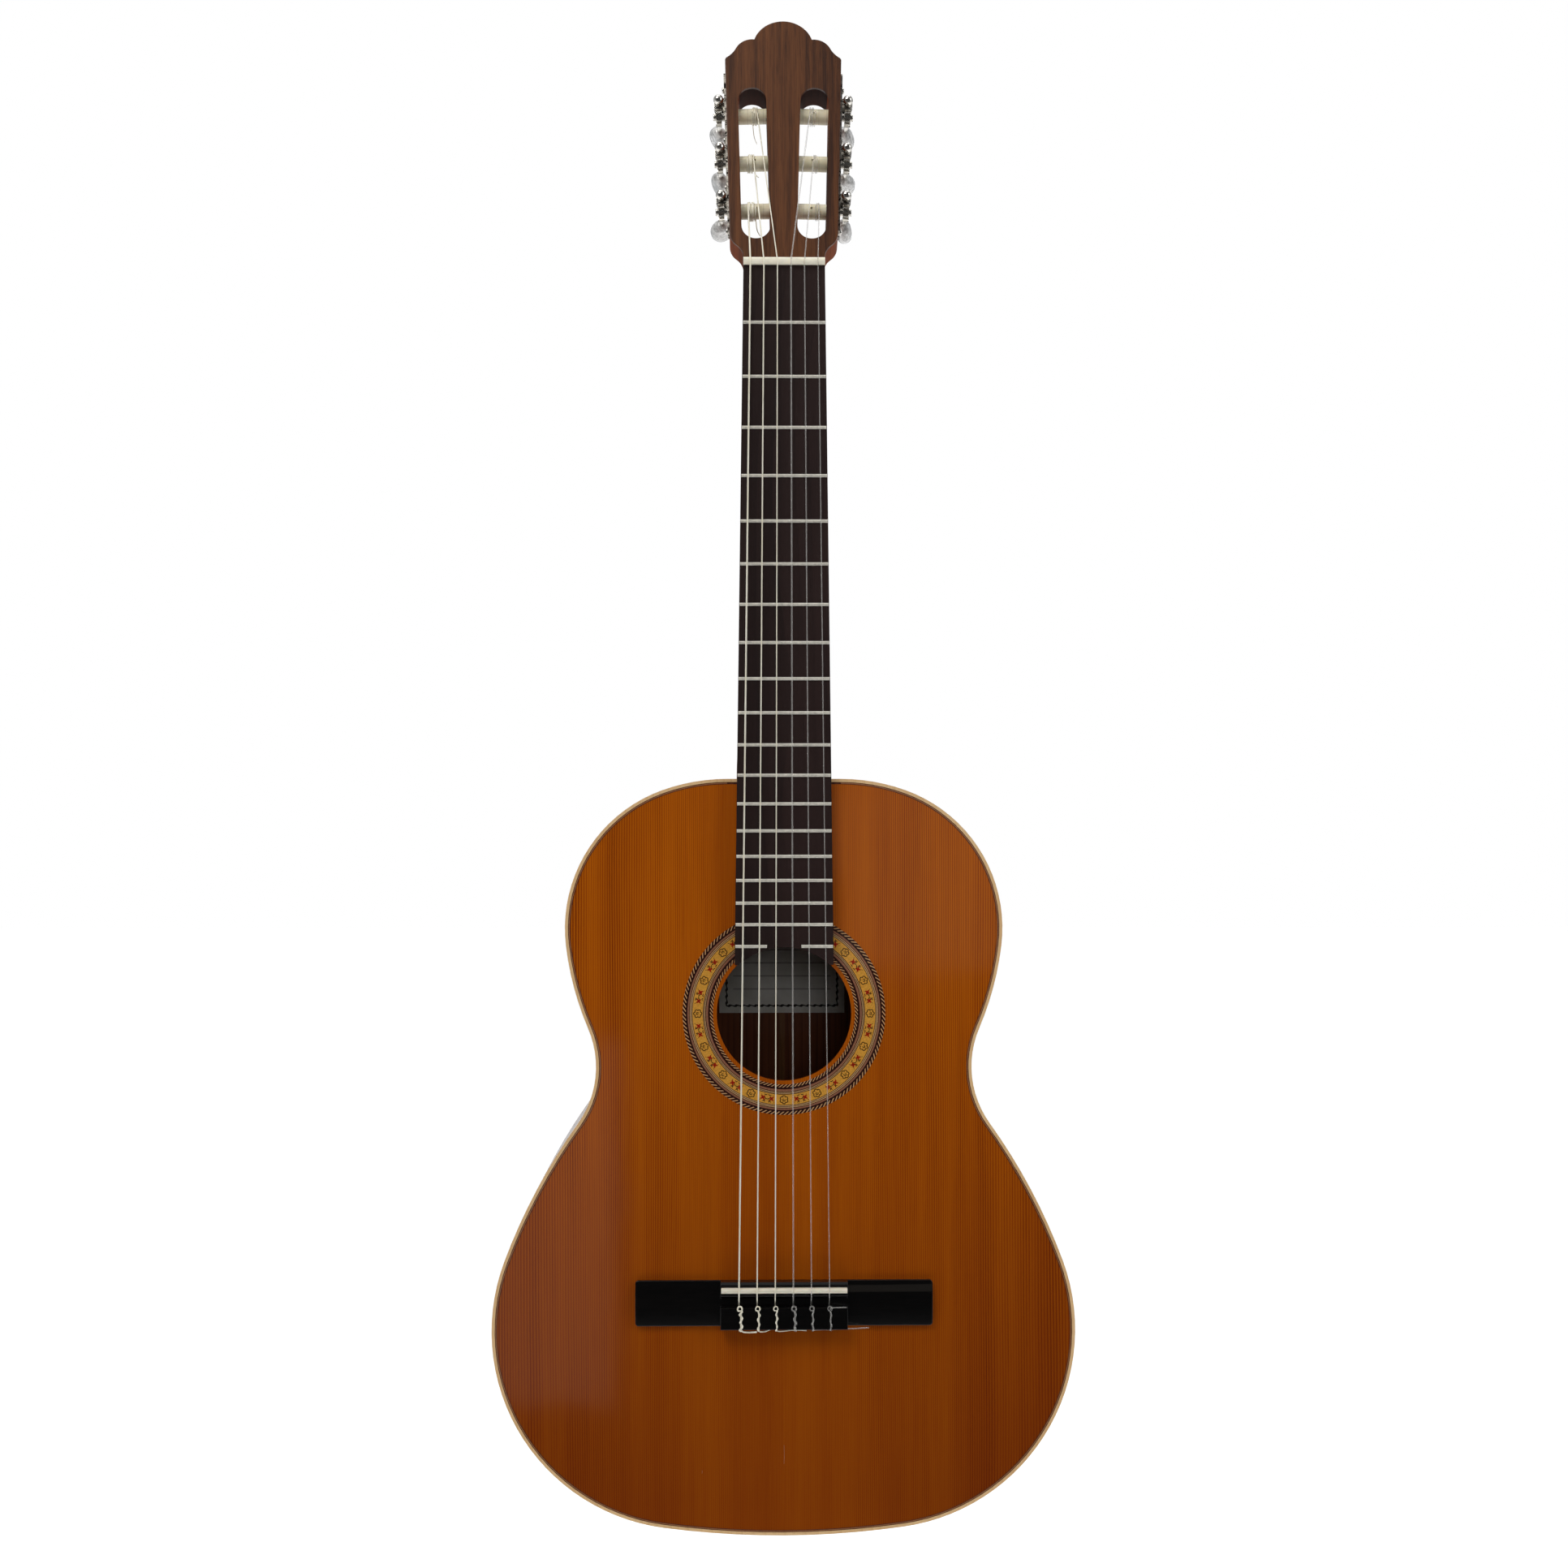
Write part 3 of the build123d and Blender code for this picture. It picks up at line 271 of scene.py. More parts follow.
def ribwood():
    """Rib stock: its grain runs round the body, across the depth it shows as lines."""
    look = lacquer("rosewood_ribs", roughness=0.40, coat=0.45)
    split = look.node("SeparateXYZ", {0: look.place()}).outputs
    wander = look.noise((5, 9, 5), 3.0, 0.5)
    lines = look.math("FRACT", look.plus(look.times(split[1], 260), look.times(wander, 8)))
    slow = look.noise((4, 60, 4), 4.0, 0.6)
    fibre = look.noise((80, 1800, 80), 2.0)
    mixed = look.plus(look.times(look.math("POWER", lines, 2.0), 0.35), look.grey(slow, 0.3, 0.7, 0.0, 0.6))
    look.feed(
        base_color=look.ramp(mixed, [(0.0, rgb(108, 60, 38)), (1.0, rgb(36, 15, 10))]),
        normal=look.bump(fibre, 0.08, 0.0001),
    )
    return look.material


def plain_wood(name, light, dark, lines=300, length=2.0, roughness=0.45, coat=0.6):
    """Straight-grained wood between two colours, with its growth lines per metre."""
    look = lacquer(name, roughness=roughness, coat=coat, coat_roughness=0.12)
    colour, fibre = grained(look, light, dark, lines, length)
    look.feed(base_color=colour, normal=look.bump(fibre, 0.15, 0.0002))
    return look.material


def neck_wood():
    """Mahogany, with painted shade darkening the inside of the headstock's slots."""
    look = lacquer("mahogany_neck", roughness=0.6, coat=0.0)
    look.shader.inputs["Specular IOR Level"].default_value = 0.06
    colour, fibre = grained(look, rgb(134, 68, 36), rgb(70, 30, 14), 260, 2.5)
    split = look.node("SeparateXYZ", {0: look.place()}).outputs
    off = look.math("ABSOLUTE", look.minus(look.math("ABSOLUTE", split[0]), SLOT_MID_X))
    within = look.math("LESS_THAN", off, SLOT_W / 2 + 0.4 * MM)
    above = look.grey(split[2], nut_high.z + 18 * MM, nut_high.z + 34 * MM, 0.25, 0.88)
    below = look.math("LESS_THAN", split[2], nut_high.z + 123 * MM)
    # painted shade: near black inside the slots, paler towards their ends by the nut
    stain_and_shade = look.times(look.times(within, below), above)
    look.feed(base_color=look.mix(stain_and_shade, colour, rgb(24, 8, 6)), normal=look.bump(fibre, 0.15, 0.0002))
    return look.material


def facing_wood():
    """The headstock's facing: uneven dark streaks and short pores along the grain."""
    look = lacquer("headstock_facing", roughness=0.45, coat=0.3, coat_roughness=0.12)
    broad = look.noise((60, 1, 3), 3.0, 0.6, distortion=0.4)
    streaks = look.noise((420, 1, 9), 4.0, 0.7)
    pores = look.noise((1500, 1, 60), 3.0, 0.6)
    mixed = look.plus(look.times(broad, 0.45), look.times(streaks, 0.55))
    mixed = look.plus(mixed, look.grey(pores, 0.45, 0.7, 0.0, 0.10))
    colour = look.ramp(mixed, [(0.36, rgb(116, 70, 38)), (0.50, rgb(92, 54, 29)), (0.66, rgb(54, 29, 17))])
    look.feed(base_color=colour, normal=look.bump(pores, 0.12, 0.0002))
    return look.material


def ebony_board():
    """Dark oiled fingerboard with open pores along the strings."""
    look = Look("fingerboard_wood", roughness=0.45)
    look.shader.inputs["Specular IOR Level"].default_value = 0.25
    colour, fibre = grained(look, rgb(50, 34, 32), rgb(14, 10, 13), 120, 3.0, contrast=0.6)
    pores = look.noise((3000, 600, 90), 2.0, 0.4)
    pits = look.grey(pores, 0.60, 0.68, 1.0, 0.0)
    look.feed(base_color=colour, normal=look.bump(pits, 0.3, 0.0002))
    return look.material


def rosette_wood():
    """Rings and rope borders of coloured veneer round the hole, with a golden band between them."""
    look = lacquer("rosette_mosaic", roughness=0.4, coat_roughness=0.03)
    split = look.node("SeparateXYZ", {0: look.place()}).outputs
    height = look.minus(split[2], HOLE.z)
    radius = look.math("SQRT", look.plus(look.times(split[0], split[0]), look.times(height, height)))
    angle = look.math("ARCTAN2", height, split[0])
    share = look.grey(radius, ROSETTE_IN_R, ROSETTE_R, 0.0, 1.0)
    width = ROSETTE_R - ROSETTE_IN_R
    stops = []
    start = 0.0
    for end, colour in ROSETTE_RINGS:
        stops.append((start * MM / width, colour))
        start = end - ROSETTE_IN_R / MM
    rings = look.ramp(share, stops, "CONSTANT")
    grain = look.noise((900, 900, 900), 3.0, 0.6)
    rings = look.mix(look.grey(grain, 0.3, 0.7, 0.0, 0.35), rings, rgb(70, 30, 12), "MULTIPLY")
    for strands, low, high, lean in ((142, 62.9, 66.0, 900.0), (120, 40.0, 47.4, 1100.0)):
        twist = look.plus(look.times(angle, strands / (2 * pi)), look.times(radius, lean * 0.5))
        stripe = look.math("FRACT", twist)
        rope = look.ramp(stripe, ROPE_STRANDS)
        above = look.math("GREATER_THAN", radius, low * MM)
        below = look.math("LESS_THAN", radius, high * MM)
        rings = look.mix(look.times(above, below), rings, rope)
    look.feed(base_color=rings)
    return look.material


def flat_lacquer(name, colour):
    """One coloured veneer of the rosette's band, under the same gloss as the top."""
    look = lacquer(name, roughness=0.4, coat_roughness=0.03)
    grain = look.noise((900, 900, 900), 3.0, 0.6)
    look.feed(base_color=look.ramp(grain, [(0.3, tuple(0.7 * c for c in colour)), (0.7, colour)]))
    return look.material


def label_paper():
    """Paper, its grey partly painted shade of the body's inside, with a ruled border and a few plain rules, and no
    lettering.
    """
    look = Look("label_paper", roughness=0.8)
    low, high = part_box("label")
    middle = (low + high) / 2
    split = look.node("SeparateXYZ", {0: look.place()}).outputs
    across = look.math("ABSOLUTE", look.minus(split[0], middle.x))
    up = look.minus(split[2], middle.z)
    side = look.math("DIVIDE", look.minus(across, (high.x - low.x) / 2 - LABEL_BORDER), LABEL_BORDER)
    height = look.math("ABSOLUTE", up)
    end = look.math("DIVIDE", look.minus(height, (high.z - low.z) / 2 - LABEL_BORDER), LABEL_BORDER)
    out = look.math("MAXIMUM", side, end)
    wave = look.math("SINE", look.times(look.plus(split[0], split[2]), 2 * pi / SCALLOP))
    scallop = look.times(wave, 0.07)
    line = look.math("LESS_THAN", look.math("ABSOLUTE", look.plus(out, scallop)), 0.12)
    rules = look.stripes(up, RULE_PITCH, 0.04)
    inside = look.math("LESS_THAN", look.math("MAXIMUM", side, end), -0.9)
    ink = look.math("MAXIMUM", line, look.times(look.times(rules, inside), 0.5))
    stain_and_shade = look.noise((40, 40, 40), 4.0)
    # painted shade: the paper's greys are darker than its own colour, for the shade inside the body; the blotches
    # are its stains
    paper = look.ramp(stain_and_shade, [(0.3, rgb(168, 166, 160)), (0.7, rgb(192, 191, 188))])
    look.feed(base_color=look.mix(ink, paper, rgb(40, 36, 34)))
    return look.material


def turned_plastic():
    """Ivory plastic sleeve, with painted shade for a fine turned groove near each end."""
    look = lacquer("ivory_plastic", roughness=0.38, coat=0.25, subsurface_weight=0.1)
    look.shader.inputs["Subsurface Radius"].default_value = (0.003, 0.002, 0.001)
    split = look.node("SeparateXYZ", {0: look.place()}).outputs
    across = look.math("ABSOLUTE", split[0])
    groove_shade = look.stripes(across, GROOVE_PITCH, 0.035)
    dirt = look.noise((160, 160, 160), 4.0)
    shade = look.ramp(dirt, [(0.3, rgb(226, 216, 184)), (0.7, rgb(250, 242, 216))])
    # painted shade: each groove is drawn as a darker line
    shade = look.mix(look.times(groove_shade, 0.28), shade, rgb(120, 106, 80))
    look.feed(base_color=shade)
    return look.material


def black_lacquer():
    """The bridge's black finish, with softened edges."""
    look = lacquer("bridge_black", roughness=0.35, coat=0.7, coat_roughness=0.04)
    grain = look.noise((70, 900, 900), 3.0)
    colour = look.ramp(grain, [(0.35, rgb(1, 1, 1)), (0.75, rgb(7, 5, 5))])
    edge = look.node("Bevel", {"Radius": 0.0006}, samples=4).outputs["Normal"]
    look.feed(base_color=colour, coat_normal=edge, normal=edge)
    return look.material


# ---------------------------------------------------------------- other materials
def metal(name, colour, roughness, scratch=0.12, metallic=1.0, tarnish=0.0):
    """Plated or drawn metal, dulled in patches; tarnish adds darkened engraving."""
    look = Look(name, metallic=metallic)
    dull = look.noise((420, 420, 420), 4.0, 0.6)
    lines = look.noise((5200, 300, 300), 2.0)
    shade = look.ramp(dull, [(0.3, tuple(0.72 * c for c in colour)), (0.7, colour)])
    rough = look.grey(dull, 0.3, 0.7, roughness + scratch, roughness)
    if tarnish:
        # engraving darkened by age, in waves along the plate
        split = look.node("SeparateXYZ", {0: look.place()}).outputs
        wave = look.math("SINE", look.times(split[2], 2 * pi / 0.0088))
        patch = look.grey(look.noise((300, 300, 700), 2.0, distortion=1.5), 0.42, 0.55, 0.0, tarnish)
        dark = look.times(look.grey(wave, -0.4, 0.5, 0.35, 1.0), patch)
        shade = look.mix(dark, shade, rgb(26, 22, 20))
    look.feed(base_color=shade, roughness=rough, normal=look.bump(lines, 0.03, 0.0001))
    return look.material


def bone(name, colour):
    """Polished bone with faint streaks."""
    look = lacquer(name, roughness=0.3, coat=0.3, subsurface_weight=0.15)
    look.shader.inputs["Subsurface Radius"].default_value = (0.003, 0.002, 0.001)
    streak = look.noise((160, 800, 300), 4.0)
    shade = look.ramp(streak, [(0.3, tuple(0.82 * c for c in colour)), (0.7, colour)])
    look.feed(base_color=shade, normal=look.bump(streak, 0.05, 0.0001))
    return look.material


def pearl():
    """Pearloid: soft swirls of grey and white that shine along their folds."""
    look = lacquer("pearloid", roughness=0.22, coat=1.0, coat_roughness=0.05, subsurface_weight=0.2)
    look.shader.inputs["Subsurface Radius"].default_value = (0.002, 0.002, 0.002)
    swirl = look.noise((170, 170, 90), 4.0, 0.55, distortion=2.2)
    fold = look.noise((420, 420, 230), 3.0, 0.5, distortion=3.0)
    mixed = look.plus(look.times(swirl, 0.65), look.times(fold, 0.35))
    greys = [(0.36, rgb(150, 150, 148)), (0.5, rgb(206, 206, 204)), (0.62, rgb(240, 240, 238))]
    shade = look.ramp(mixed, greys)
    look.feed(base_color=shade, normal=look.bump(fold, 0.05, 0.0002))
    return look.material


def nylon():
    """Clear nylon, thinned so that what lies behind a string shows through it."""
    look = Look("clear_nylon", roughness=0.2, transmission_weight=0.5, alpha=0.34)
    look.shader.inputs["IOR"].default_value = 1.5
    haze = look.noise((900, 900, 60), 2.0)
    look.feed(base_color=look.ramp(haze, [(0.3, rgb(232, 230, 226)), (0.7, rgb(250, 249, 245))]))
    return look.material


def wound():
    """Silver wire wound over nylon: each turn is a fine ridge across the string."""
    look = Look("wound_silver", metallic=0.1, roughness=0.35)
    split = look.node("SeparateXYZ", {0: look.place()}).outputs
    turns = look.math("SINE", look.times(split[2], 2 * pi / 0.00022))
    tarnish = look.noise((300, 300, 40), 3.0)
    shade = look.ramp(tarnish, [(0.3, rgb(246, 238, 214)), (0.7, rgb(255, 252, 236))])
    look.feed(base_color=shade, normal=look.bump(turns, 0.12, 0.00008))
    return look.material


DARK_VENEER = rgb(44, 12, 8)
PINK_VENEER = rgb(158, 106, 80)
CREAM_VENEER = rgb(216, 172, 120)
GOLD_VENEER = rgb(236, 170, 66)
ROPE_STRANDS = [
    (0.0, DARK_VENEER), (0.56, DARK_VENEER), (0.64, rgb(214, 170, 122)), (0.92, rgb(196, 148, 98)),
    (1.0, DARK_VENEER),
]
# the rosette's rings from the inside: outer radius in millimetres and colour;
# the ropes are laid over the first and last
ROSETTE_RINGS = [
    (47.4, CREAM_VENEER), (48.6, DARK_VENEER), (49.9, PINK_VENEER), (50.3, DARK_VENEER), (50.7, CREAM_VENEER),
    (51.1, DARK_VENEER), (51.5, CREAM_VENEER), (51.9, DARK_VENEER), (58.5, GOLD_VENEER), (58.9, DARK_VENEER),
    (59.4, CREAM_VENEER), (59.8, DARK_VENEER), (60.3, CREAM_VENEER), (60.7, DARK_VENEER), (61.8, PINK_VENEER),
    (62.9, DARK_VENEER), (65.0, CREAM_VENEER),
]
CEDAR = cedar()
ROSEWOOD = rosewood()
RIBS = ribwood()
MAPLE = plain_wood("maple_binding", rgb(248, 210, 158), rgb(216, 168, 112), 160, 3.0, coat=0.5)
INLAY = plain_wood("inlay_strip", rgb(118, 80, 48), rgb(74, 44, 24), 160, 3.0, coat=1.0)
SPRUCE = plain_wood("spruce_inside", rgb(196, 160, 112), rgb(150, 110, 66), 500, 1.5, roughness=0.7, coat=0.0)
MAHOGANY = neck_wood()
VENEER = facing_wood()
BOARD = ebony_board()
BRIDGE = black_lacquer()
BONE = bone("bone", rgb(252, 246, 226))
ROLLER = turned_plastic()
ROSETTE = rosette_wood()
LABEL = label_paper()
PRINT_DARK = flat_lacquer("veneer_dark", rgb(58, 34, 12))
PRINT_RED = flat_lacquer("veneer_red", rgb(186, 40, 16))
LIGHT_LINE = flat_lacquer("veneer_light", rgb(176, 120, 84))
PEARL = pearl()
NICKEL = metal("nickel_plate", (0.80, 0.77, 0.71), 0.18)
PLATE = metal("engraved_plate", (0.55, 0.52, 0.46), 0.3, tarnish=1.0)
FRETWIRE = metal("nickel_silver", (0.90, 0.86, 0.76), 0.30, 0.05, metallic=0.3)
NYLON = nylon()
WOUND = wound()

CARRIED = {
    "cedar": CEDAR, "binding": MAPLE, "purfling": ROSEWOOD, "rosewood": ROSEWOOD, "inlay": INLAY,
    "spruce": SPRUCE, "label": LABEL, "mahogany": MAHOGANY, "veneer": VENEER, "fingerboard": BOARD,
    "fretwire": FRETWIRE, "bone": BONE, "bridge": BRIDGE, "nickel": NICKEL, "roller": ROLLER,
    "pearl": PEARL, "nylon": NYLON, "wound": WOUND, "rosette": ROSETTE,
}
SPECIAL = {"rib": RIBS, "tuner_plate": PLATE}  # by the first part of a node's name
for part in frame["record"]["subparts"]:
    material = SPECIAL.get(part["node"].rsplit("_", 1)[0], CARRIED[part["material_slot"]])
    node = frame["nodes"][part["node"]]
    for holder in node.material_slots:
        holder.material = material

# ---------------------------------------------------------------- pieces that the CAD leaves plain
def piece(name, data, body, materials):
    """A finished piece that rides on a body and takes the materials given to it."""
    made = bpy.data.objects.new(name, data)
    bpy.context.collection.objects.link(made)
    for material in materials:
        data.materials.append(material)
    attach(made, body)
    return made


def wire(name, paths, radius, body, material):
    """Round wire or string along smooth paths."""
    curve = bpy.data.curves.new(name, "CURVE")
    curve.dimensions = "3D"
    curve.bevel_depth = radius
    curve.bevel_resolution = 3
    curve.use_fill_caps = True
    for path in paths:
        spline = curve.splines.new("POLY")
        spline.points.add(len(path) - 1)
        for point, place in zip(spline.points, path):
            point.co = (*place, 1.0)
        spline.use_smooth = True
    return piece(name, curve, body, [material])


def smooth_path(points, steps=8):
    """A Catmull-Rom path through a few points."""
    points = [Vector(p) for p in points]
    path = []
    for i in range(len(points) - 1):
        p0, p1, p2 = points[max(i - 1, 0)], points[i], points[i + 1]
        p3 = points[min(i + 2, len(points) - 1)]
        for step in range(steps):
            t = step / steps
            square, cube = 2 * p0 - 5 * p1 + 4 * p2 - p3, 3 * p1 - p0 - 3 * p2 + p3
            path.append(0.5 * (2 * p1 + (p2 - p0) * t + square * t**2 + cube * t**3))
    return path + [points[-1]]


def ellipse(x, y, half_x, half_y, turn=0.0, count=14):
    """Points of an ellipse on the flat, in millimetres."""
    places = []
    for i in range(count):
        angle = 2 * pi * i / count
        a, b = half_x * cos(angle), half_y * sin(angle)
        places.append((x + a * cos(turn) - b * sin(turn), y + a * sin(turn) + b * cos(turn)))
    return places


def stroke(points, width):
    """A pen stroke that is widest in its middle, as quads."""
    quads = []
    for i in range(len(points) - 1):
        a, b = Vector(points[i]), Vector(points[i + 1])
        across = Vector((a.y - b.y, b.x - a.x)).normalized() * width / 2
        near = across * (0.45 + 0.55 * sin(pi * i / (len(points) - 1)))
        far = across * (0.45 + 0.55 * sin(pi * (i + 1) / (len(points) - 1)))
        quads.append([a - near, b - far, b + far, a + near])
    return quads


def arc(x, y, radius, start, end, count=7):
    """Points along a circle's arc, between two angles in degrees."""
    angles = [radians(start + (end - start) * i / count) for i in range(count + 1)]
    return [(x + radius * cos(angle), y + radius * sin(angle)) for angle in angles]


BAND_R = 55.2  # middle of the rosette's golden band, mm
REPEATS = 16


def facet(build, corners, material_index=0):
    """One flat face on the soundboard that looks forwards."""
    made = build.faces.new([build.verts.new((x, -PRINT_LIFT, z)) for x, z in corners])
    made.normal_update()
    if made.normal.y > 0:
        made.normal_flip()
    made.material_index = material_index


def rosette_print():
    """Flower heads, small red flowers and leaf sprays round the golden band."""
    mesh = bpy.data.meshes.new("rosette_flowers")
    build = bmesh.new()
    sector = 2 * pi * BAND_R / REPEATS
    dark, red = [], []
    for spot in (-1, 1):
        # half of the head, a red flower and half of the leaf spray on each side of the middle
        flower = spot * sector * 0.37
        for turn in (45, 135, 225, 315):
            x = flower + 0.85 * cos(radians(turn))
            red.append(ellipse(x, 0.85 * sin(radians(turn)), 0.95, 0.55, radians(turn)))
        dark.append(ellipse(flower, 0, 0.30, 0.30))
        edge = spot * sector * 0.5
        dark += stroke(arc(edge - spot * 0.2, -1.2, 1.7, 90 - spot * 10, 90 + spot * 75), 0.62)
        spray = [(edge - spot * 0.3, -2.6), (edge - spot * 1.2, -1.9), (edge - spot * 2.4, -2.2)]
        dark += stroke(spray, 0.64)
        dark += stroke([(edge - spot * 1.1, 1.0), (edge - spot * 1.6, 1.9), (edge - spot * 1.2, 2.7)], 0.62)
        stem = [(flower + spot * 0.9, 1.1), (flower + spot * 0.8, 1.9), (flower + spot * 0.1, 2.5)]
        dark += stroke(stem, 0.52)
        dark += stroke([(flower - spot * 1.0, -1.2), (flower - spot * 1.3, -2.2)], 0.52)
        dark += stroke([(flower - spot * 1.1, 1.3), (flower - spot * 1.9, 2.4)], 0.52)
    for turn in range(0, 360, 60):
        x, y = 1.62 * cos(radians(turn + 30)), 1.62 * sin(radians(turn + 30))
        dark += stroke(arc(x, y, 1.05, turn - 75, turn + 135), 0.62)
    dark += stroke(arc(0, 0.1, 0.85, -30, 250), 0.55)
    dark.append(ellipse(0, 0, 0.28, 0.28))
    for repeat in range(REPEATS):
        middle = 2 * pi * repeat / REPEATS - pi / 2
        for index, faces in enumerate((dark, red)):
            for face in faces:
                corners = []
                for t, r in face:
                    angle = middle + t / BAND_R
                    reach = (BAND_R + r) * MM
                    corners.append((reach * cos(angle), HOLE.z + reach * sin(angle)))
                facet(build, corners, index)
    build.to_mesh(mesh)
    build.free()
    piece("rosette_flowers", mesh, "guitar", [PRINT_DARK, PRINT_RED])


def string_finish(n):
    """The slot and material of string n: three plain trebles, three wound basses."""
    return ("nylon", NYLON) if n <= 3 else ("wound", WOUND)


def string_x(n):
    """Where string n crosses the saddle."""
    return SADDLE_SPREAD * (3.5 - n) / 5


def rounded(points, radius, steps=5):
    """The same path with each corner turned as a short curve."""
    path = [points[0]]
    for before, corner, after in zip(points, points[1:], points[2:]):
        enter = corner + (before - corner).normalized() * radius
        leave = corner + (after - corner).normalized() * radius
        for i in range(steps + 1):
            t = i / steps
            path.append(enter * (1 - t) ** 2 + corner * 2 * t * (1 - t) + leave * t**2)
    return path + [points[-1]]




def string_end(n):
    """A string's last stretch: its place on the nut, where it meets its roller, and its laps there."""
    joint = JOINTS[f"roller_{n}_turn"]
    centre, axis = Vector(joint["pos_m"]), Vector(joint["axis"]).normalized()
    r = STRING_D[n - 1] / 2
    start = centre - axis * ((abs(centre.x) - WOUND_X[n - 1]) / abs(axis.x))
    nut = Vector((NUT_SPREAD * (3.5 - n) / 5, -STRING_NUT_H - r, (nut_low.z + nut_high.z) / 2))
    away = nut - start
    away -= axis * away.dot(axis)
    reach = ROLLER_R + r
    swing = acos(reach / away.length)
    choices = [Matrix.Rotation(way * swing, 3, axis) @ away.normalized() for way in (-1, 1)]
    meet = min(choices, key=lambda v: v.y)
    travel = (start + meet * reach - nut).normalized()
    travel = (travel - meet * travel.dot(meet) - axis * travel.dot(axis)).normalized()
    inward = -1 if n in (1, 6) else 1
    laps = []
    count = 4 if n > 3 else 3
    for i in range(1, count * 24 + 1):
        angle = 2 * pi * i / 24
        along = inward * (2.15 * r * angle / (2 * pi) + 0.5 * r * sin(angle * 0.63 + n))
        lift = 0.35 * r * abs(sin(angle * 0.5 + n))
        laps.append(start + axis * along + (reach + lift) * (meet * cos(angle) + travel * sin(angle)))
    return nut, start + meet * reach, laps


def string(n):
    """One string from its end on the tie block, through the hole and over saddle and nut to its roller."""
    r = STRING_D[n - 1] / 2
    x = string_x(n)
    strand = x + 2 * r + 0.2 * MM
    behind = bridge_low.z - r - 0.15 * MM
    over = bridge_low.y - r - 0.1 * MM
    front = bridge_low.z + TIE_L
    lean = tan(BREAK / 2) * ((saddle_high.z - saddle_low.z) / 2 + r)
    nut, meet, laps = string_end(n)
    points = [
        Vector((strand, over, front - 2 * MM)),
        Vector((strand, over, behind)),
        Vector((x, -TIE_HOLE_H, behind)),
        Vector((x, -TIE_HOLE_H, front)),
        Vector((x, -SADDLE_H - r, (saddle_low.z + saddle_high.z) / 2 - lean)),
        nut,
        meet,
    ]
    slot, material = string_finish(n)
    made = wire(f"strung_{n}", [rounded(points, 0.45 * MM) + laps], r, "guitar", material)
    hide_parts(f"string_{n}")


def knot(n):
    """The string's end, looped round itself at the front of the tie block and twisted back over it."""
    r = STRING_D[n - 1] / 2
    x, top = string_x(n), bridge_low.y - r
    strand = x + 2 * r + 0.2 * MM
    back, front = bridge_low.z, bridge_low.z + TIE_L
    turns = {1: 2.0, 2: 2.2, 3: 2.4, 4: 2.5, 5: 2.2, 6: 2.6}[n]
    way = 1 - 2 * (n % 2)
    ring = 1.15 * MM + r / 2
    path = []
    for i in range(22):
        angle = radians(-50 + 290 * i / 21)
        z = front - 0.4 * MM + ring * sin(angle)
        y = top - 1.3 * r if z < front else top - 1.3 * r + (z - front) * 0.9
        path.append((x + r + ring * cos(angle), y, z))
    count = int(turns * 14)
    for i in range(count + 1):
        share = i / count
        angle = 2 * pi * turns * share
        wide = (1.5 + 0.4 * sin(9 * share + n)) * r
        z = front - 1.6 * MM - share * (front - back - 1.2 * MM)
        path.append((strand + way * wide * cos(angle), top - 0.7 * r - 1.3 * r * sin(angle), z))
    path.append((strand, top + 1.5 * MM, back - r - 0.15 * MM))
    slot, material = string_finish(n)
    low = back - r
    # points of the loose end, in millimetres from the string, the block's top and its rear edge
    loose = {
        6: [(0.9, 0, 1.8), (2.4, 1, -0.6), (6, 2, -1.3), (11.3, 1, -0.9)],
        5: [(0.8, 1, 0), (2.2, 1.5, -0.9), (5.5, 2, -0.8), (8, 2.5, 0.2)],
        4: [(0.8, 1, 1), (2.4, 1.5, -0.8), (12, 2, -0.1), (20, 2, -0.5)],
        2: [(0.8, 1, 0), (10, 2, 0.1), (24, 3, 0.3), (37, 6, 0.1)],
        1: [(0.4, -0.5, TIE_L / MM - 0.6), (2, -0.4, TIE_L / MM + 0.5), (11, -0.2, TIE_L / MM + 0.6)],
    }
    paths = [path]
    if n in loose:
        paths.append(smooth_path([(x + a * MM, top + b * MM, low + c * MM) for a, b, c in loose[n]]))
    wire(f"knot_{n}", paths, r, "guitar", material)


def loose_end(n, hang):
    """The end of a bass string that sticks out of its roller."""
    joint = JOINTS[f"roller_{n}_turn"]
    axis = Vector(joint["axis"]).normalized()
    hole = Vector(joint["pos_m"]) - axis * ROLLER_HOLE
    down = Vector((0, 0, -1))
    tail = [
        hole + Vector((0, 4.8 * MM, 0)),
        hole + Vector((0, 6.6 * MM, 0)) + down * hang * 0.25,
        hole + axis * -0.8 * MM + Vector((0, 5.0 * MM, 0)) + down * hang * 0.7,
        hole + axis * -2.6 * MM + Vector((0, 3.0 * MM, 0)) + down * hang,
    ]
    wire(f"loose_end_{n}", [smooth_path(tail)], STRING_D[n - 1] * 0.3, f"roller_{n}", WOUND)


def purfling_line():
    """The pale middle line of the purfling, between its two dark ones."""
    mesh = bpy.data.meshes.new("purfling_line")
    build = bmesh.new()
    for side in (-1, 1):
        inner, outer = outline(3.0 * MM), outline(2.5 * MM)
        for i in range(min(len(inner), len(outer)) - 1):
            facet(build, [(side * x, z) for x, z in (inner[i], inner[i + 1], outer[i + 1], outer[i])])
    build.to_mesh(mesh)
    build.free()
    piece("purfling_line", mesh, "guitar", [LIGHT_LINE])


# tangent arcs of the body's half outline from the middle of the tail: radius in mm, turn in degrees
OUTLINE_ARCS = [
    (565.6, 7.84), (127.2, 102.59), (376.4, 15.24), (62.6, -58.8), (193.5, 16.25), (94.0, 77.09),
    (123.0, 19.79),
]


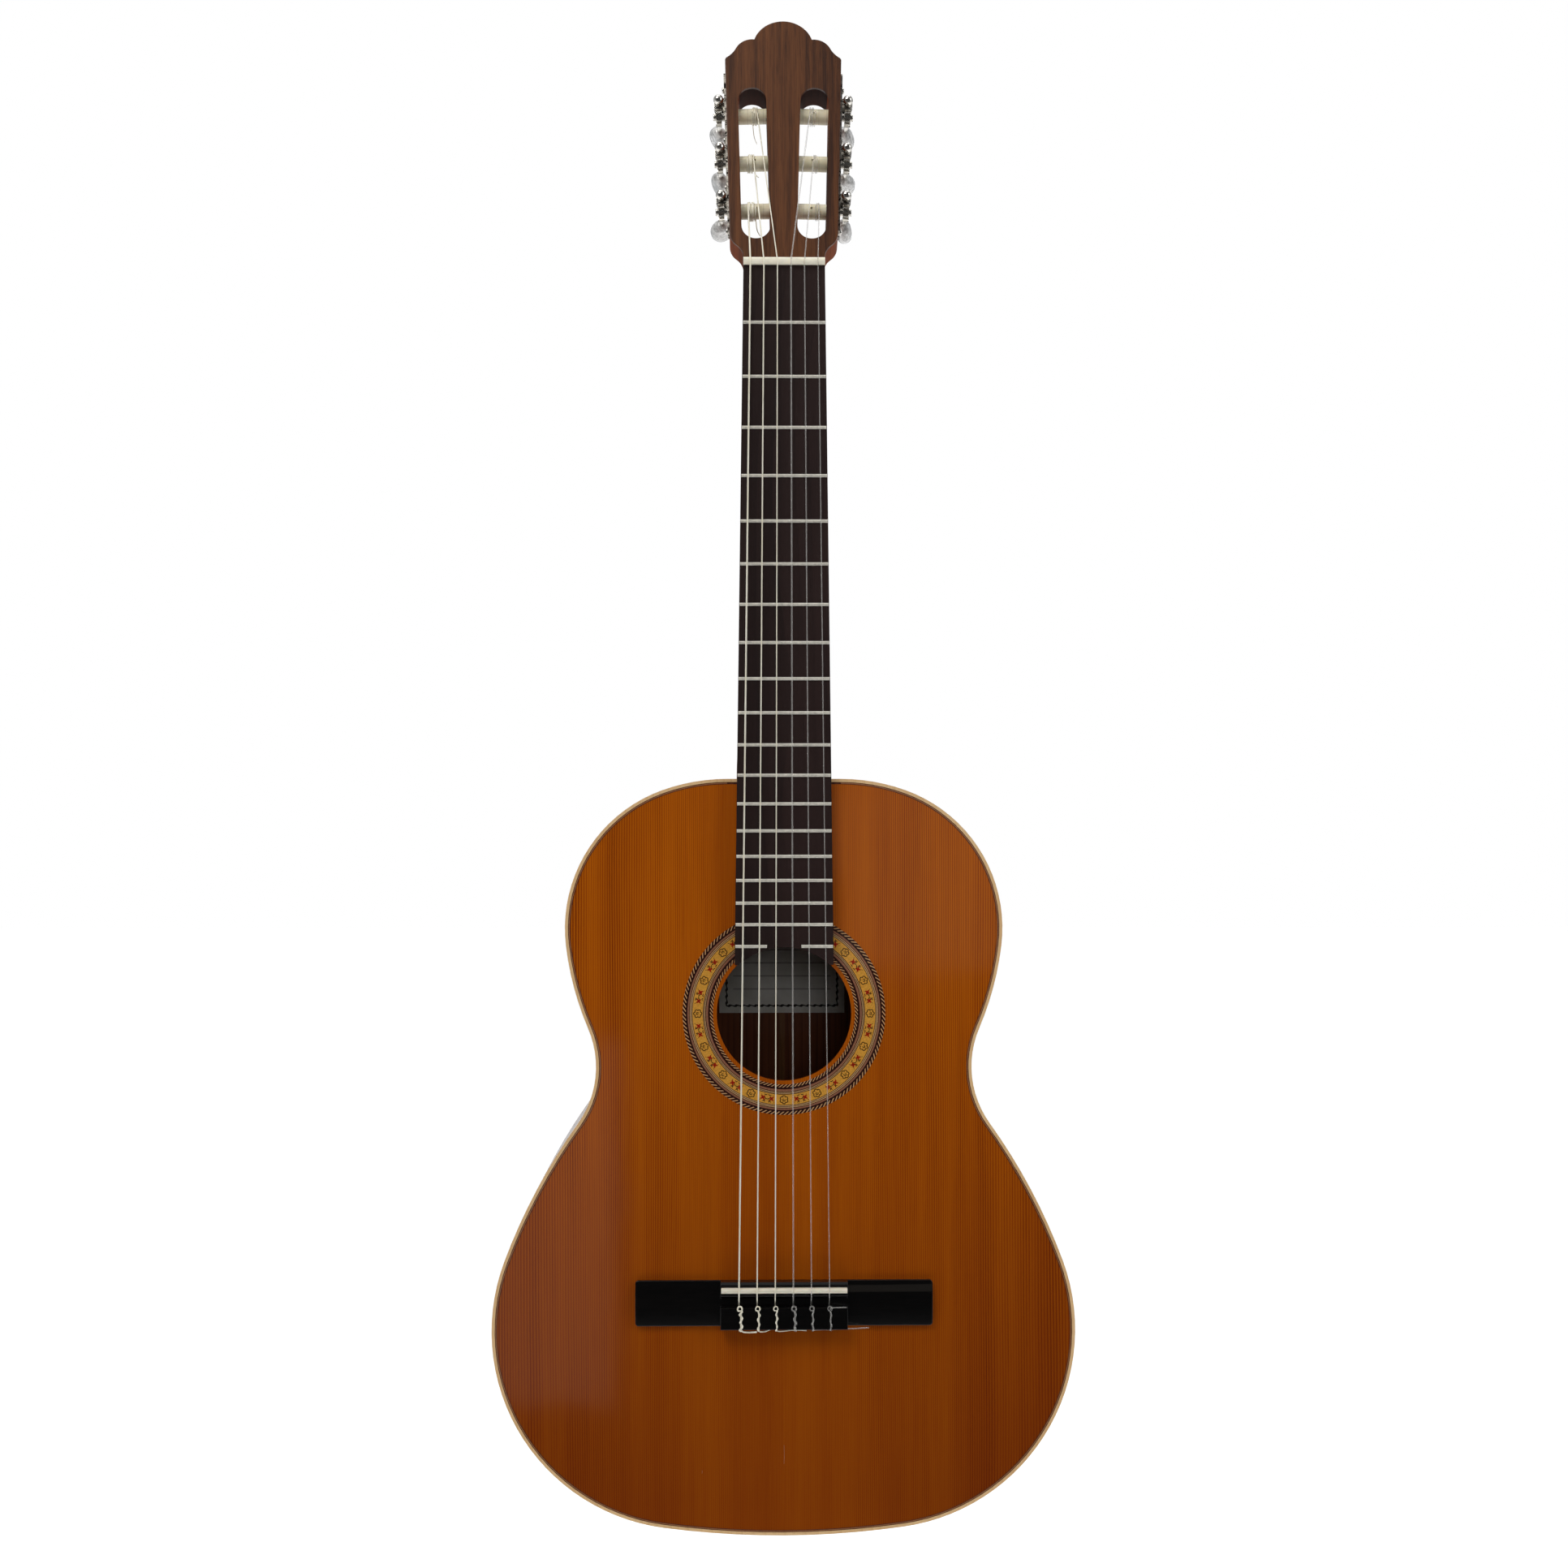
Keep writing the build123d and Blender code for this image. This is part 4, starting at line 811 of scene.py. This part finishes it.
def outline(inset):
    """Points of the half outline moved inwards, up to the fingerboard's side."""
    x, z, heading = 0.0, top_low.z + inset, 0.0
    points = [(x, z)]
    for radius, turn in OUTLINE_ARCS:
        reach = radius * MM - inset if turn > 0 else radius * MM + inset
        way = 1 if turn > 0 else -1
        steps = max(8, int(abs(turn)))
        centre_x, centre_z = x - way * reach * sin(heading), z + way * reach * cos(heading)
        for i in range(1, steps + 1):
            angle = heading + radians(turn) * i / steps
            points.append((centre_x + way * reach * sin(angle), centre_z - way * reach * cos(angle)))
        heading += radians(turn)
        x, z = points[-1]
    return [(x, z) for x, z in points if z < -0.5 or x > FINGERBOARD_HALF]


def dings():
    """Two small scratches in the lacquer of the lower bout."""
    paths = []
    for x, z, length in ((0.0, -0.772, 0.012), (-0.0525, -0.783, 0.002)):
        paths.append([(x, 0.0, z + length / 2), (x + 0.0002, 0.0, z), (x, 0.0, z - length / 2)])
    wire("scratches", paths, 0.12 * MM, "guitar", LIGHT_LINE)


rosette_print()
purfling_line()
dings()
for number in range(1, 7):
    string(number)
    knot(number)
for number, hang in ((4, 17 * MM), (5, 8 * MM), (6, 15 * MM)):
    loose_end(number, hang)

# ---------------------------------------------------------------- floor, light and camera
CAMERA = Vector((-0.020, -1.300, NUT_Z - 0.3306))
FOCAL = 46.6  # on a 36 mm wide square
FLOOR_Z = top_low.z - 0.70


def stage():
    """The pale floor."""
    look = Look("stage_white", roughness=0.9, base_color=(0.95, 0.95, 0.95, 1.0))
    look.shader.inputs["Emission Color"].default_value = (1.0, 1.0, 1.0, 1.0)
    look.shader.inputs["Emission Strength"].default_value = 0.72
    bpy.ops.mesh.primitive_plane_add(size=16, location=(0, 7.3, FLOOR_Z))
    floor = bpy.context.object
    floor.name = "stage_floor"
    floor.data.materials.append(look.material)


def world():
    """White where the camera looks past the guitar; for light, a pale room, dim in front of the guitar."""
    made = bpy.data.worlds.new("studio")
    bpy.context.scene.world = made
    made.use_nodes = True
    tree = made.node_tree
    room = tree.nodes["Background"]
    room.inputs["Color"].default_value = (0.95, 0.97, 1.0, 1.0)
    way = tree.nodes.new("ShaderNodeTexCoord")
    split = tree.nodes.new("ShaderNodeSeparateXYZ")
    fade = tree.nodes.new("ShaderNodeMapRange")
    fade.interpolation_type = "SMOOTHSTEP"
    for socket, value in (("From Min", -0.85), ("From Max", 0.0), ("To Min", 0.03), ("To Max", 0.42)):
        fade.inputs[socket].default_value = value
    tree.links.new(way.outputs["Generated"], split.inputs[0])
    tree.links.new(split.outputs[1], fade.inputs["Value"])
    tree.links.new(fade.outputs["Result"], room.inputs["Strength"])
    white = tree.nodes.new("ShaderNodeBackground")
    white.inputs["Color"].default_value = (1.0, 1.0, 1.0, 1.0)
    white.inputs["Strength"].default_value = 1.0
    path = tree.nodes.new("ShaderNodeLightPath")
    mixer = tree.nodes.new("ShaderNodeMixShader")
    tree.links.new(path.outputs["Is Camera Ray"], mixer.inputs[0])
    tree.links.new(room.outputs[0], mixer.inputs[1])
    tree.links.new(white.outputs[0], mixer.inputs[2])
    tree.links.new(mixer.outputs[0], tree.nodes["World Output"].inputs["Surface"])


def light(name, place, aim, size, power, colour=(1, 1, 1)):
    """A rectangular lamp at a place, turned to where it aims."""
    lamp = bpy.data.lights.new(name, "AREA")
    lamp.shape, lamp.size, lamp.size_y = "RECTANGLE", *size
    lamp.energy, lamp.color = power, colour
    holder = bpy.data.objects.new(name, lamp)
    bpy.context.collection.objects.link(holder)
    holder.location = place
    holder.rotation_euler = (Vector(aim) - Vector(place)).to_track_quat("-Z", "Y").to_euler()
    holder.visible_camera = False
    return holder


def camera():
    """The camera, level, at the photographer's height and side."""
    lens = bpy.data.cameras.new("camera")
    lens.lens, lens.sensor_width = FOCAL, 36.0
    lens.clip_start = 0.05
    holder = bpy.data.objects.new("camera", lens)
    bpy.context.collection.objects.link(holder)
    holder.location = CAMERA
    holder.rotation_euler = (pi / 2, 0, atan2(CAMERA.x, -CAMERA.y))
    bpy.context.scene.camera = holder


stage()
world()
light("key", (-0.9, -1.3, 1.5), (0, 0, -0.45), (1.1, 1.1), 26, (1.0, 0.98, 0.95))
light("fill", (1.9, -1.0, 0.6), (0, 0, -0.45), (1.0, 1.4), 12, (0.96, 0.98, 1.0))
light("top", (0, 0.3, 1.9), (0, 0.1, -0.4), (1.6, 1.2), 14)
light("back", (0.6, 2.2, 0.9), (0, 0, -0.4), (1.5, 1.5), 8)
# lights from the front, and shows in no gloss
front = light("front", (0.3, -2.6, 0.1), (0, 0, -0.4), (0.9, 0.9), 8, (1.0, 0.99, 0.97))
front.visible_glossy = False
# two pale cards behind the camera, seen only as broad reflections in the lacquer
light("card_right", (0.28, -2.2, -0.50), (0.28, 0, -0.50), (0.30, 0.32), 0.08, (1.0, 0.86, 0.72))
light("card_left", (-0.40, -2.2, -1.10), (-0.40, 0, -1.10), (0.30, 0.62), 0.24, (1.0, 0.80, 0.70))
camera()
bpy.context.scene.view_settings.view_transform = "Standard"
